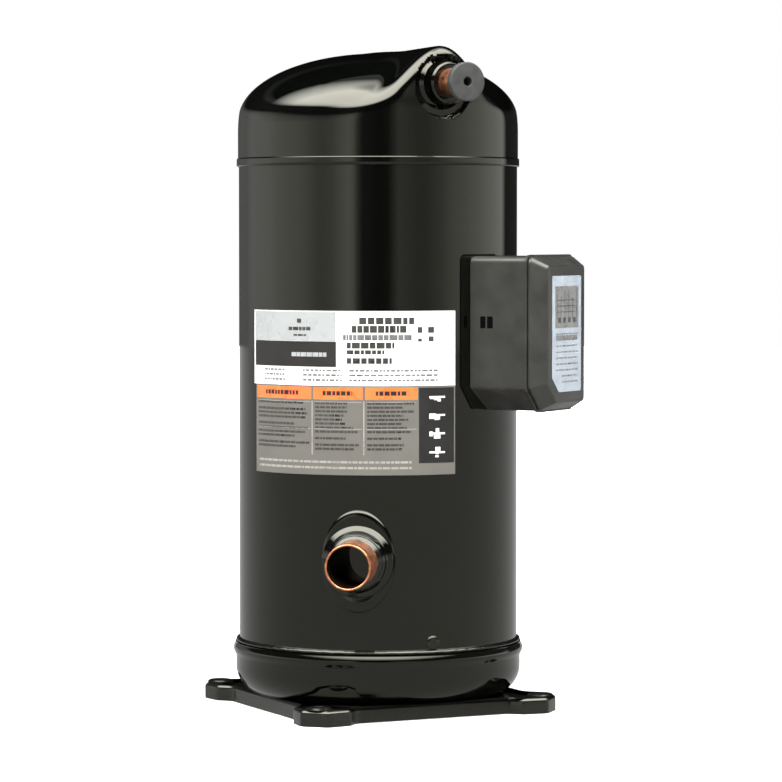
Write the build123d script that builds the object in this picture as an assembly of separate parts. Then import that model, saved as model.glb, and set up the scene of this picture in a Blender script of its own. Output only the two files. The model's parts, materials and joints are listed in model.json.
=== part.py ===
"""Hermetic scroll compressor: a welded steel shell on a stamped base, with its motor, crankshaft, scroll set
and terminal box inside and on it.

Frame: millimetres, +Z up along the shaft. The origin is on the shaft axis, in the plane the feet rest on.
The sides of the base plate lie along X and Y. A bearing is an angle in degrees seen from above, measured
from -Y towards +X, and a part on the shell is built pointing along +X and then turned to its bearing.
"""

import os
from math import cos, pi, radians, sin

from build123d import *

os.makedirs("parts", exist_ok=True)

# ---- driving dimensions -------------------------------------------------------------------------------
SHELL_RADIUS = 109.5
SHELL_WALL = 3.2
SHELL_BOTTOM = 28.0
SHELL_TOP = 424.0
SHELL_BORE = SHELL_RADIUS - SHELL_WALL

# base plate
BOLT_SQUARE = 190.5
BOLT_HOLE_RADIUS = 4.3
BOSS_RADIUS = 9.2
BOSS_HEIGHT = 1.6
BASE_HALF = 98.0
BASE_HEIGHT = 12.4
BASE_SHEET = 3.5
EAR_WIDTH = 47.0
EAR_SHOULDER = 128.0
EAR_TIP = 144.0
EAR_TIP_WIDTH = 22.0
EAR_CORNER = 5.0

# end caps
CAP_FLOOR = 10.0
CAP_RADIUS = 112.3
CAP_SHEET = 3.0
CAP_KNUCKLE = 22.0
CAP_RIM = 51.0
DOME_RADIUS = 109.8
DOME_START = 461.5
DOME_RISE = 52.0
DOME_STEPS = 16
DOME_SHEET = 3.5
SEAM_HEIGHT = 7.0
SEAM_PROUD = 1.3

# bearings of the parts on the shell
SUCTION_BEARING = -33.5
DISCHARGE_BEARING = 2.5
BOX_BEARING = 36.5
PLUG_WELD_BEARING = -3.0
LABEL_FROM = -86.0
LABEL_TO = 7.0

# suction connection, for a 1 3/8 inch tube
SUCTION_Z = 123.0
SUCTION_TUBE_RADIUS = 17.46
SUCTION_TUBE_WALL = 1.6
SUCTION_TUBE_END = 163.0
SUCTION_SEAT = 124.0
SUCTION_PAD = (28.5, 39.5)
SUCTION_PAD_PROUD = 2.6

# discharge connection, for a 7/8 inch tube
DISCHARGE_Z = 486.5
DISCHARGE_TUBE_RADIUS = 11.11
DISCHARGE_TUBE_WALL = 1.25
DISCHARGE_TUBE_END = 138.0

# round hood over the discharge connection, with a flat face for the collar
HOOD_RADIUS = 28.5
HOOD_BORE = 22.0
FLAT_FACE = 103.0
FLAT_RADIUS = 21.5
COLLAR_END = FLAT_FACE + 15.0

# the part of each tube inside its fitting is this much smaller in radius than the stub outside
SEAT_STEP = 0.3

# scroll set: involutes of a circle, and the crank throw is just under half the pitch less the wall
BASE_CIRCLE = 3.3
WRAP_WALL = 4.2
WRAP_HEIGHT = 42.0
WRAP_START = 1.05 * pi
WRAP_END = 6.5 * pi
THROW = 6.0
ORBIT_PLATE_TOP = 355.8
ORBIT_PLATE = 10.0
ORBIT_PLATE_RADIUS = 80.0
WRAP_TIP_GAP = 0.2
SEAL_DEPTH = 1.8
SEAL_PROUD = 0.12
SEAL_HALF = 1.0

# shaft and bearings
JOURNAL_RADIUS = 18.0
LOWER_JOURNAL_RADIUS = 14.0
CRANK_PIN_RADIUS = 12.0
SHAFT_BOTTOM = 44.0
SHAFT_SHOULDER = 320.0
CRANK_PIN_TOP = 342.0
DRIVE_BUSH_RADIUS = 16.0
RUNNING_GAP = 0.05

# motor
STATOR_BOTTOM = 152.0
STATOR_TOP = 247.0
STATOR_BORE = 48.5
ROTOR_RADIUS = 47.9
STATOR_SLOTS = 24

# main bearing housing and Oldham coupling
HOUSING_FLOOR = 318.0
HOUSING_WALL_RADIUS = 91.0
THRUST_FACE = 345.6
THRUST_RADIUS = 59.0
HUB_CAVITY_RADIUS = 33.5
KEY_CENTRE = 75.0
KEY_HALF_WIDTH = 5.0
KEY_HALF_LENGTH = 7.0
KEY_GAP = 0.15
KEY_TRAVEL = THROW + KEY_HALF_LENGTH + 0.5
OLDHAM_BOTTOM = 336.5
OLDHAM_TOP = 344.5
POST_RADIUS = 7.5
POST_CIRCLE = 97.5
POST_TOP = 384.0
POST_BEARINGS = (45, 135, 225, 315)

# partition under the dome
PARTITION_BOTTOM = 427.0
PARTITION_SHEET = 6.0

# terminal box
BOX_BOTTOM = 236.5
BOX_TOP = 355.0
BOX_HALF = 41.0
BOX_RIM = 150.0
BOX_FRONT = 164.0
BOX_WALL = 2.4
COVER_HALF = 34.0
COVER_BOTTOM = 242.0
COVER_TOP = 349.0
BOX_CUT_WIDE = 19.0
BOX_CUT_HIGH = 17.5
TERMINAL_Z = 296.0
GROUND_SCREW = (24.0, 258.5)


# ---- helpers -------------------------------------------------------------------------------------------
def at_bearing(shape, bearing):
    """A shape built along +X, turned about Z to its bearing."""
    return Rot(0, 0, bearing - 90) * shape


def rod(radius, low, high, x=0.0, y=0.0):
    """An upright cylinder from z = low to z = high."""
    return Pos(x, y, (low + high) / 2) * Cylinder(radius, high - low)


def ring(outer, inner, low, high, x=0.0, y=0.0):
    """An upright ring from z = low to z = high."""
    return rod(outer, low, high, x, y) - rod(inner, low - 1, high + 1, x, y)


def beam(radius, start, end, y=0.0, z=0.0):
    """A cylinder along X from x = start to x = end."""
    return Pos((start + end) / 2, y, z) * Rot(0, 90, 0) * Cylinder(radius, end - start)


def block(x0, x1, y0, y1, z0, z1):
    """A box between two corners."""
    return Pos((x0 + x1) / 2, (y0 + y1) / 2, (z0 + z1) / 2) * Box(x1 - x0, y1 - y0, z1 - z0)


def prism(sketch, low, high):
    """A sketch in XY raised from z = low to z = high."""
    return extrude(Pos(0, 0, low) * sketch, high - low)


def turned(points):
    """A closed outline of (radius, z) points, revolved about Z."""
    outline = Polyline(*[(r, 0, z) for r, z in points], close=True)
    return revolve(make_face(outline), Axis.Z)


def around(shape, bearings):
    """Copies of a shape built along +X, one at each bearing."""
    return [at_bearing(shape, bearing) for bearing in bearings]


def one(shapes):
    """All the shapes in one compound or solid."""
    total = shapes[0]
    for shape in shapes[1:]:
        total = total + shape
    return total


def save(name, shape):
    """Write one sub-part."""
    export_step(shape, f"parts/{name}.step")


# ---- base plate and shell ------------------------------------------------------------------------------
def base_outline(inset):
    """The plate seen from above: a square with a tapered ear at each corner."""
    outline = Rectangle(2 * (BASE_HALF - inset), 2 * (BASE_HALF - inset))
    tip, shoulder = EAR_TIP - inset, EAR_SHOULDER - inset
    wide, narrow = EAR_WIDTH / 2 - inset, EAR_TIP_WIDTH / 2 - inset / 2
    ear = make_face(Polyline((0, -wide), (shoulder, -wide), (tip, -narrow), (tip, narrow), (shoulder, wide),
                             (0, wide), close=True))
    for bearing in POST_BEARINGS:
        outline += Rot(0, 0, bearing) * ear
    tips = outline.vertices().filter_by(lambda v: v.X**2 + v.Y**2 > shoulder**2)
    return fillet(tips, EAR_CORNER - inset / 2)


def base_plate():
    bottom_of_sheet = BASE_HEIGHT - BASE_SHEET
    pan = prism(base_outline(0), 0, BASE_HEIGHT) - prism(base_outline(BASE_SHEET), -1, bottom_of_sheet)
    dish = ring(101.0, 70.0, 6.4, BASE_HEIGHT)
    plate = pan + dish - rod(70.0, -1, BASE_HEIGHT + 1) - bottom_cap_outer()
    half = BOLT_SQUARE / 2
    for x in (-half, half):
        for y in (-half, half):
            plate += rod(BOSS_RADIUS, 0, BASE_HEIGHT + BOSS_HEIGHT, x, y)
            plate -= rod(BOLT_HOLE_RADIUS, -1, BASE_HEIGHT + BOSS_HEIGHT + 1, x, y)
    return plate


def bottom_cap_outer():
    cup = rod(CAP_RADIUS, CAP_FLOOR, CAP_RIM)
    return fillet(cup.edges().group_by(Axis.Z)[0], CAP_KNUCKLE)


def bottom_cap():
    hollow = rod(CAP_RADIUS - CAP_SHEET, CAP_FLOOR + CAP_SHEET, CAP_RIM + 1)
    hollow = fillet(hollow.edges().group_by(Axis.Z)[0], CAP_KNUCKLE - CAP_SHEET)
    flare = turned([(CAP_RADIUS - 1, 39.5), (114.0, 42.5), (114.4, 46.5), (112.6, 51.0),
                    (SHELL_RADIUS, 54.5), (SHELL_RADIUS, 50.0), (CAP_RADIUS - 1, 49.0)])
    seat = rod(SHELL_RADIUS, SHELL_BOTTOM, CAP_RIM + 5)
    return bottom_cap_outer() + flare - hollow - seat


def shell_body():
    tube = ring(SHELL_RADIUS, SHELL_BORE, SHELL_BOTTOM, SHELL_TOP)
    for bearing in (PLUG_WELD_BEARING, PLUG_WELD_BEARING + 120, PLUG_WELD_BEARING + 240):
        tube += at_bearing(beam(5.0, SHELL_BORE + 0.5, SHELL_RADIUS + 0.7, z=60.0), bearing)
    tube -= at_bearing(beam(SUCTION_TUBE_RADIUS + 3.5, 80, 130, z=SUCTION_Z), SUCTION_BEARING)
    tube -= at_bearing(beam(17.0, 80, 130, z=TERMINAL_Z), BOX_BEARING)
    return tube


def dome_solid(radius, rise, skirt):
    """A rounded dome on a cylinder that reaches down to z = skirt."""
    quarter = [pi / 2 * i / DOME_STEPS for i in range(DOME_STEPS + 1)]
    points = [(radius * cos(a), 0, DOME_START + rise * sin(a)) for a in quarter]
    crown = Spline(*points, tangents=[(0, 0, 1), (-1, 0, 0)])
    top = DOME_START + rise
    sides = Polyline((0, 0, top), (0, 0, skirt), (radius, 0, skirt), (radius, 0, DOME_START))
    return revolve(make_face([crown, sides]), Axis.Z)


def top_cap():
    hood = beam(HOOD_RADIUS, 0, FLAT_FACE, z=DISCHARGE_Z) & rod(DOME_RADIUS - 0.15, 440, 530)
    cap = dome_solid(DOME_RADIUS, DOME_RISE, SHELL_TOP) + at_bearing(hood, DISCHARGE_BEARING)
    cap -= at_bearing(beam(FLAT_RADIUS, FLAT_FACE, 130, z=DISCHARGE_Z), DISCHARGE_BEARING)
    cap -= dome_solid(DOME_RADIUS - DOME_SHEET, DOME_RISE - DOME_SHEET, SHELL_TOP - 1)
    passage = beam(15.5, 60, 120, z=DISCHARGE_Z) + beam(HOOD_BORE, 30, FLAT_FACE - DOME_SHEET, z=DISCHARGE_Z)
    cap -= at_bearing(passage, DISCHARGE_BEARING)
    return cap + ring(DOME_RADIUS + SEAM_PROUD, DOME_RADIUS - 1, SHELL_TOP + 0.5, SHELL_TOP + SEAM_HEIGHT)


# ---- connections ---------------------------------------------------------------------------------------
def along_x(points):
    """A closed outline of (x, radius) points, revolved about the X axis."""
    outline = Polyline(*[(x, 0, r) for x, r in points], close=True)
    return revolve(make_face(outline), Axis.X)


def stub(radius, wall, start, seat, end, z):
    """A tube along X whose part up to seat, inside the fitting, is slightly smaller."""
    profile = [(start, radius - wall), (start, radius - SEAT_STEP), (seat, radius - SEAT_STEP),
               (seat, radius), (end, radius), (end, radius - wall)]
    return Pos(0, 0, z) * along_x(profile)


def suction_fitting():
    bore = SUCTION_TUBE_RADIUS - SEAT_STEP
    profile = [(100.0, bore), (100.0, bore + 3.4), (104.0, bore + 3.4), (104.0, 29.0), (112.5, 27.5),
               (116.0, 23.5), (121.0, 22.2), (122.5, 20.9), (122.5, bore)]
    fitting = Pos(0, 0, SUCTION_Z) * along_x(profile)
    pad = Pos(60, 0, SUCTION_Z) * extrude(Plane.YZ * Ellipse(*SUCTION_PAD), 60)
    pad &= ring(SHELL_RADIUS + SUCTION_PAD_PROUD, SHELL_RADIUS - 1, 60, 200)
    fitting += pad - beam(bore, 50, 130, z=SUCTION_Z)
    fitting -= rod(SHELL_RADIUS, 60, 200) - beam(bore + 3.4, 90, 130, z=SUCTION_Z)
    return at_bearing(fitting, SUCTION_BEARING)


def suction_tube():
    tube = stub(SUCTION_TUBE_RADIUS, SUCTION_TUBE_WALL, 101.0, SUCTION_SEAT, SUCTION_TUBE_END, SUCTION_Z)
    return at_bearing(tube, SUCTION_BEARING)


def suction_baffle():
    """A bent shield inside the inlet that turns the gas towards the motor."""
    low, high = SUCTION_Z - 24, SUCTION_Z + 24
    shield = ring(97.0, 95.6, low, high) & block(60, 110, -30, 30, low, high)
    for side in (-1, 1):
        leg = block(60, 110, 28.5 * side - 1.5, 28.5 * side + 1.5, low, high)
        shield += ring(SHELL_BORE, 95.6, low, high) & leg
    return at_bearing(shield, SUCTION_BEARING)


def discharge_fitting():
    bore = DISCHARGE_TUBE_RADIUS - SEAT_STEP
    face = FLAT_FACE
    profile = [(face - 8, bore), (face - 8, 15.5), (face, 15.5), (face, 20.0), (face + 1.5, 19.5),
               (face + 3.0, 16.6), (COLLAR_END - 1.5, 16.0), (COLLAR_END, 14.6), (COLLAR_END, bore)]
    return at_bearing(Pos(0, 0, DISCHARGE_Z) * along_x(profile), DISCHARGE_BEARING)


def discharge_tube():
    radius, wall = DISCHARGE_TUBE_RADIUS, DISCHARGE_TUBE_WALL
    tube = stub(radius, wall, FLAT_FACE - 7, COLLAR_END + 0.5, DISCHARGE_TUBE_END, DISCHARGE_Z)
    return at_bearing(tube, DISCHARGE_BEARING)


def discharge_plug():
    """A rubber shipping plug: a stem inside the tube and a round flange over its end."""
    stem = DISCHARGE_TUBE_RADIUS - DISCHARGE_TUBE_WALL - 0.02
    end = DISCHARGE_TUBE_END + 0.05
    profile = [(end - 14, 0), (end - 14, stem - 1.5), (end - 12, stem), (end, stem), (end, 14.0),
               (end + 0.8, 14.8), (end + 5.2, 14.8), (end + 6.0, 14.0), (end + 6.0, 3.7), (end + 1.5, 3.4),
               (end + 1.5, 0)]
    return at_bearing(Pos(0, 0, DISCHARGE_Z) * along_x(profile), DISCHARGE_BEARING)


def label(low, high, start, end):
    """A thin sheet on the shell between two bearings."""
    sheet = ring(SHELL_RADIUS + 0.25, SHELL_RADIUS, low, high)
    half = (end - start) / 2
    reach = 200.0
    corner = (reach * cos(radians(half)), reach * sin(radians(half)))
    wedge = make_face(Polyline((0, 0), corner, (corner[0], -corner[1]), close=True))
    return at_bearing(sheet & prism(wedge, low - 1, high + 1), (start + end) / 2)


# ---- terminal box --------------------------------------------------------------------------------------
def box_outline(half, low, high, cut_wide, cut_high):
    """The box seen from the front, in (y, z), with one lower corner cut off."""
    points = [(-half, high), (half, high), (half, low), (-half + cut_wide, low), (-half, low + cut_high)]
    face = make_face(Polyline(*[(0, y, z) for y, z in points], close=True))
    return face


def box_prism(half, low, high, start, end, cut_wide=BOX_CUT_WIDE, cut_high=BOX_CUT_HIGH, corner=4.0):
    """The box outline drawn out from x = start to x = end, with rounded long edges."""
    outline = Pos(start, 0, 0) * box_outline(half, low, high, cut_wide, cut_high)
    solid = extrude(outline, end - start, dir=(1, 0, 0))
    return fillet(solid.edges().filter_by(Axis.X), corner)


def terminal_box_body():
    outer = box_prism(BOX_HALF, BOX_BOTTOM, BOX_TOP, 96.0, BOX_RIM)
    inner = box_prism(BOX_HALF - BOX_WALL, BOX_BOTTOM + BOX_WALL, BOX_TOP - BOX_WALL, 114.5, BOX_RIM + 1,
                      corner=2.5)
    back = box_prism(BOX_HALF - BOX_WALL, BOX_BOTTOM + BOX_WALL, BOX_TOP - BOX_WALL, 90.0, 112.0, corner=2.5)
    body = outer - inner - back - rod(SHELL_RADIUS + 0.6, 200, 400)
    body -= beam(29.4, 90, 120, z=TERMINAL_Z)
    body -= rod(11.1, BOX_BOTTOM - 2, BOX_BOTTOM + 5, x=130.0, y=14.0)
    for x in (112.6, 117.4):
        body -= block(x, x + 2.6, -BOX_HALF - 1, -BOX_HALF + BOX_WALL + 1, 300.0, 309.0)
    body -= beam(2.3, 108, 118, *GROUND_SCREW)
    return at_bearing(body, BOX_BEARING)


def terminal_box_cover():
    gap = 0.35
    half = BOX_HALF - BOX_WALL - gap
    low = BOX_BOTTOM + BOX_WALL + gap
    high = BOX_TOP - BOX_WALL - gap
    plate = box_prism(half, low, high, BOX_RIM - 4.0, BOX_RIM - 1.2, corner=2.2)
    hood = box_prism(COVER_HALF, COVER_BOTTOM, COVER_TOP, BOX_RIM - 2.0, BOX_FRONT)
    front = hood.faces().sort_by(Axis.X)[-1]
    hood = fillet(front.edges(), 2.4)
    hollow = box_prism(COVER_HALF - 2.2, COVER_BOTTOM + 2.2, COVER_TOP - 2.2, BOX_RIM - 6.0, BOX_FRONT - 2.4,
                       corner=2.0)
    return at_bearing(plate + hood - hollow, BOX_BEARING)


def box_label():
    """A thin label on the front of the cover, with the cover's cut corner."""
    sheet = box_prism(COVER_HALF - 8.0, COVER_BOTTOM + 9.0, COVER_TOP - 9.0, BOX_FRONT, BOX_FRONT + 0.25,
                      corner=2.0)
    return at_bearing(sheet, BOX_BEARING)


def terminal_box_gasket():
    """A foam ring between the shell and the back edge of the box."""
    pad = ring(SHELL_RADIUS + 0.55, SHELL_RADIUS + 0.05, BOX_BOTTOM + 1, BOX_TOP - 1)
    pad &= block(60, 130, -BOX_HALF + 1, BOX_HALF - 1, 200, 400)
    pad -= block(60, 130, -BOX_HALF + 7, BOX_HALF - 7, BOX_BOTTOM + 7, BOX_TOP - 7)
    pad -= extrude(Pos(60, 0, 0) * corner_cut_face(), 80, dir=(1, 0, 0))
    return at_bearing(pad, BOX_BEARING)


def corner_cut_face():
    """The triangle outside the cut corner of the box, with a margin of 3 mm."""
    inner, upper = -BOX_HALF + BOX_CUT_WIDE + 3.0, BOX_BOTTOM + BOX_CUT_HIGH + 3.0
    outer, lower = -BOX_HALF - 9.0, BOX_BOTTOM - 9.0
    points = [(outer, lower), (inner, lower), (inner, BOX_BOTTOM), (-BOX_HALF, upper), (outer, upper)]
    return make_face(Polyline(*[(0, y, z) for y, z in points], close=True))


def terminal_fence():
    """A short steel sleeve welded to the shell around the terminals."""
    sleeve = beam(29.0, 90, 122, z=TERMINAL_Z) - beam(27.4, 89, 123, z=TERMINAL_Z)
    sleeve -= rod(SHELL_RADIUS, 200, 400)
    return at_bearing(sleeve, BOX_BEARING)


def pin_places(radius):
    """The three terminal pins, as (y, z) on a circle."""
    return [(radius * sin(radians(a)), TERMINAL_Z + radius * cos(radians(a))) for a in (0, 120, 240)]


def terminal_plug():
    cup = beam(17.0, 104.0, 111.5, z=TERMINAL_Z) - beam(14.6, 106.4, 113.0, z=TERMINAL_Z)
    for y, z in pin_places(8.0):
        cup -= beam(3.4, 100, 114, y, z)
    return at_bearing(cup, BOX_BEARING)


def terminal_glass():
    beads = [beam(3.4, 103.0, 107.6, y, z) - beam(1.6, 100, 110, y, z) for y, z in pin_places(8.0)]
    return at_bearing(one(beads), BOX_BEARING)


def terminal_pins():
    return at_bearing(one([beam(1.6, 94.0, 127.0, y, z) for y, z in pin_places(8.0)]), BOX_BEARING)


def terminal_block():
    body = block(112.2, 123.0, -16, 16, TERMINAL_Z - 15, TERMINAL_Z + 17)
    body = fillet(body.edges().filter_by(Axis.X), 5.0)
    for y, z in pin_places(8.0):
        body -= beam(4.6, 117.0, 125.0, y, z) + beam(1.7, 110.0, 125.0, y, z)
    return at_bearing(body, BOX_BEARING)


def terminal_nuts():
    """Hexagon nuts that clamp the supply wires to the pins."""
    nuts = []
    for y, z in pin_places(8.0):
        nut = extrude(Plane.YZ * RegularPolygon(4.2, 6), 3.0)
        nuts.append(Pos(118.0, y, z) * nut - beam(1.6, 110, 130, y, z))
    return at_bearing(one(nuts), BOX_BEARING)


def ground_screw():
    """A hexagon washer-head screw in the back of the box."""
    y, z = GROUND_SCREW
    head = Pos(115.3, y, z) * extrude(Plane.YZ * RegularPolygon(5.0, 6), 4.0)
    screw = beam(2.2, 110.3, 116.0, y, z) + beam(6.0, 114.5, 115.5, y, z) + head
    return at_bearing(screw, BOX_BEARING)


# ---- motor ---------------------------------------------------------------------------------------------
def slot_sketch(inset):
    """One stator slot along +X, narrowed on every side by inset."""
    inner, outer = 52.5 + inset, 79.0 - inset
    narrow, wide = 4.0 - inset, 7.4 - inset
    pocket = make_face(Polyline((inner, -narrow), (outer, -wide), (outer, wide), (inner, narrow), close=True))
    return pocket


def stator_core():
    disc = Circle(SHELL_BORE - 0.1) - Circle(STATOR_BORE)
    mouth = Pos(50.5, 0) * Rectangle(6.0, 2.6)
    for i in range(STATOR_SLOTS):
        disc -= Rot(0, 0, i * 360 / STATOR_SLOTS) * (slot_sketch(0.0) + mouth)
    for i in range(6):
        disc -= Rot(0, 0, 15 + i * 60) * Pos(SHELL_BORE, 0) * Rectangle(7.0, 24.0)
    return prism(disc, STATOR_BOTTOM, STATOR_TOP)


def winding_head(low, high):
    """The rounded bundle of end turns between two heights."""
    bundle = ring(88.0, 56.0, low, high)
    rim = bundle.edges().filter_by(GeomType.CIRCLE)
    return fillet(rim, 6.0)


def motor_windings():
    coils = winding_head(STATOR_TOP + 1.5, 281.0) + winding_head(119.0, STATOR_BOTTOM - 1.5)
    bar = prism(slot_sketch(0.5), STATOR_BOTTOM - 8, STATOR_TOP + 8)
    for i in range(STATOR_SLOTS):
        coils += Rot(0, 0, i * 360 / STATOR_SLOTS) * bar
    return coils


def motor_protector():
    """A bimetal cut-out tied to the top of the end turns."""
    case = at_bearing(block(62, 82, -9, 9, 281.0, 290.0), BOX_BEARING + 150)
    return fillet(case.edges().filter_by(Axis.Z), 4.0)


def lead_connector():
    """The moulded socket on the inner ends of the terminal pins."""
    socket = beam(13.5, 92.0, 102.5, z=TERMINAL_Z)
    for y, z in pin_places(8.0):
        socket -= beam(1.6, 94.0, 104.0, y, z)
    return at_bearing(socket, BOX_BEARING)


def motor_leads():
    """Three insulated wires from the socket to the top of the end turns."""
    leads = []
    for i, (y, z) in enumerate(pin_places(6.5)):
        drop = 75.0 + 3 * i
        corner = FilletPolyline((92.0, y, z), (drop, y, z), (drop, y, 281.0), radius=5.0)
        section = Plane(origin=corner @ 0, z_dir=corner % 0) * Circle(1.9)
        leads.append(sweep(section, path=corner))
    return at_bearing(one(leads), BOX_BEARING)


def rotor_core():
    stack = Circle(ROTOR_RADIUS) - Circle(JOURNAL_RADIUS)
    for i in range(28):
        stack -= Rot(0, 0, i * 360 / 28) * Pos(42.0, 0) * Circle(2.2)
    return prism(stack, STATOR_BOTTOM - 1, STATOR_TOP + 1)


def rotor_cage():
    cage = ring(46.5, 33.0, STATOR_BOTTOM - 10, STATOR_BOTTOM - 1)
    cage += ring(46.5, 33.0, STATOR_TOP + 1, STATOR_TOP + 10)
    for i in range(28):
        x, y = 42.0 * cos(2 * pi * i / 28), 42.0 * sin(2 * pi * i / 28)
        cage += rod(2.2, STATOR_BOTTOM - 2, STATOR_TOP + 2, x, y)
    return cage


# ---- crankshaft ----------------------------------------------------------------------------------------
def crankshaft():
    shaft = rod(JOURNAL_RADIUS, 92.0, SHAFT_SHOULDER) + rod(LOWER_JOURNAL_RADIUS, SHAFT_BOTTOM, 92.0)
    shaft += rod(CRANK_PIN_RADIUS, SHAFT_SHOULDER, CRANK_PIN_TOP, x=THROW)
    shaft -= rod(9.0, SHAFT_BOTTOM - 1, 96.0)
    shaft -= rod(3.0, 90.0, CRANK_PIN_TOP + 1, x=6.0)
    for z in (68.0, 302.0):
        shaft -= beam(2.0, 0.0, 30.0, z=z)
    return shaft


def half_weight(outer, inner, low, high, side):
    """A half ring that fills the +X or -X side."""
    weight = ring(outer, inner, low, high)
    return weight & block(min(0, side * 80), max(0, side * 80), -80, 80, low - 1, high + 1)


def upper_counterweight():
    collar = ring(24.0, JOURNAL_RADIUS, 259.0, 276.0)
    return collar + half_weight(46.0, 20.0, 257.2, 280.0, -1)


def lower_counterweight():
    return half_weight(46.0, JOURNAL_RADIUS, 122.0, STATOR_BOTTOM - 10, 1)


def drive_bush():
    return ring(DRIVE_BUSH_RADIUS, CRANK_PIN_RADIUS, 322.6, 343.5, x=THROW)


def crank_pin_washer():
    """A loose thrust washer between the shaft shoulder and the drive bush."""
    bore = CRANK_PIN_RADIUS + THROW / 2 + 0.3
    return ring(21.5, bore, SHAFT_SHOULDER + 0.1, SHAFT_SHOULDER + 1.6, x=THROW / 2)


def oil_pickup():
    """A pressed cone and stirrer vane in the foot of the shaft."""
    cone = turned([(5.0, 26.0), (6.6, 26.0), (9.0, 40.0), (9.0, 60.0), (7.4, 60.0), (7.4, 40.6)])
    vane = block(-7.4, 7.4, -0.6, 0.6, 41.0, 84.0)
    return cone + vane


# ---- bearings and housings -----------------------------------------------------------------------------
def main_bearing_housing():
    body = rod(SHELL_BORE - 0.1, HOUSING_FLOOR, 354.0)
    body -= ring(HOUSING_WALL_RADIUS, THRUST_RADIUS, OLDHAM_BOTTOM - 0.5, 355.0)
    body -= rod(THRUST_RADIUS + 0.1, THRUST_FACE, 355.0)
    body -= rod(HUB_CAVITY_RADIUS, SHAFT_SHOULDER, 355.0)
    body += rod(33.0, 286.0, HOUSING_FLOOR + 1)
    body -= rod(21.0, 280.0, 330.0)
    near, far = KEY_CENTRE - KEY_TRAVEL, KEY_CENTRE + KEY_TRAVEL
    width = KEY_HALF_WIDTH + KEY_GAP
    for side in (-1, 1):
        body -= block(min(side * near, side * far), max(side * near, side * far), -width, width, 328.6, 340.0)
    for bearing in (0, 90, 180, 270):
        window = at_bearing(block(94.0, 120.0, -17, 17, HOUSING_FLOOR - 1, 360.0), bearing)
        body -= window
    for bearing in POST_BEARINGS:
        body += at_bearing(rod(POST_RADIUS, 340.0, POST_TOP, x=POST_CIRCLE), bearing)
        body -= at_bearing(rod(4.0, 350.0, POST_TOP + 1, x=POST_CIRCLE), bearing)
    return body


def main_bearing_bush():
    return ring(21.0, JOURNAL_RADIUS + RUNNING_GAP, 286.0, 319.5)


def lower_bearing_bracket():
    """A three-armed spider welded to the shell, with the lower bearing in its hub."""
    bracket = ring(24.0, 17.0, 52.0, 84.0)
    arm = block(20.0, SHELL_BORE - 0.3, -13, 13, 62.0, 67.0)
    foot = block(101.0, 110.0, -13, 13, 50.0, 67.0) & rod(SHELL_BORE, 0, 100)
    for k in range(3):
        bracket += at_bearing(arm + foot, PLUG_WELD_BEARING + 120 * k)
    return bracket - rod(17.0, 0, 100) & rod(SHELL_BORE - 0.05, 0, 100)


def lower_bearing_bush():
    return ring(17.0, LOWER_JOURNAL_RADIUS + RUNNING_GAP, 53.0, 83.0)


def lower_thrust_washer():
    return ring(17.5, LOWER_JOURNAL_RADIUS + 0.4, 84.05, 86.0) + ring(23.5, 17.5, 84.05, 86.0)


def sump_magnet():
    return ring(12.0, 4.0, CAP_FLOOR + CAP_SHEET + 0.05, 18.0)


# ---- scroll set ----------------------------------------------------------------------------------------
def involute(angle, lead):
    """A point on an involute of the base circle, where lead shifts it along its normal."""
    reach = angle + lead
    x = BASE_CIRCLE * (cos(angle) + reach * sin(angle))
    y = BASE_CIRCLE * (sin(angle) - reach * cos(angle))
    return (x, y)


def involute_strip(half_wall, start, end):
    """The plan of a wall that follows the involute, half_wall to each side of it."""
    lead = half_wall / BASE_CIRCLE
    steps = round((end - start) / (pi / 8))
    angles = [start + (end - start) * i / steps for i in range(steps + 1)]
    outer = Spline(*[involute(a, lead) for a in angles])
    inner = Spline(*[involute(a, -lead) for a in angles])
    return make_face([outer, Line(outer @ 1, inner @ 1), inner, Line(inner @ 0, outer @ 0)])


def wrap_face():
    return involute_strip(WRAP_WALL / 2, WRAP_START, WRAP_END)


def seal_face():
    return involute_strip(SEAL_HALF, WRAP_START + 0.5 * pi, WRAP_END - 0.12 * pi)


def orbiting_place():
    """The orbiting scroll faces the fixed one half a turn round, at the crank throw."""
    return Pos(THROW, 0, 0) * Rot(0, 0, 180)


def orbiting_scroll():
    tip = ORBIT_PLATE_TOP + WRAP_HEIGHT
    floor = ORBIT_PLATE_TOP - ORBIT_PLATE
    scroll = rod(ORBIT_PLATE_RADIUS, floor, ORBIT_PLATE_TOP) + prism(wrap_face(), ORBIT_PLATE_TOP - 0.5, tip)
    scroll -= prism(seal_face(), tip - SEAL_DEPTH, tip + 1)
    scroll += ring(25.0, 19.0, 323.2, floor + 0.5)
    width = KEY_HALF_WIDTH + KEY_GAP
    near = KEY_CENTRE - KEY_TRAVEL
    for side in (-1, 1):
        low, high = min(side * near, side * 90), max(side * near, side * 90)
        scroll -= block(-width, width, low, high, floor - 1, floor + 6.2)
    return orbiting_place() * scroll


def orbiting_tip_seal():
    tip = ORBIT_PLATE_TOP + WRAP_HEIGHT
    return orbiting_place() * prism(seal_face(), tip - SEAL_DEPTH, tip + SEAL_PROUD)


def hub_bearing_bush():
    return ring(19.0, DRIVE_BUSH_RADIUS + RUNNING_GAP, 323.2, 343.8, x=THROW)


def oldham_ring():
    band = ring(84.0, 66.0, OLDHAM_BOTTOM, OLDHAM_TOP)
    for side in (-1, 1):
        low, high = side * KEY_CENTRE - KEY_HALF_LENGTH, side * KEY_CENTRE + KEY_HALF_LENGTH
        band += block(low, high, -KEY_HALF_WIDTH, KEY_HALF_WIDTH, 329.5, OLDHAM_BOTTOM + 1)
        band += block(-KEY_HALF_WIDTH, KEY_HALF_WIDTH, low, high, OLDHAM_TOP - 1, 351.0)
    return Pos(THROW, 0, 0) * band


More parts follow.
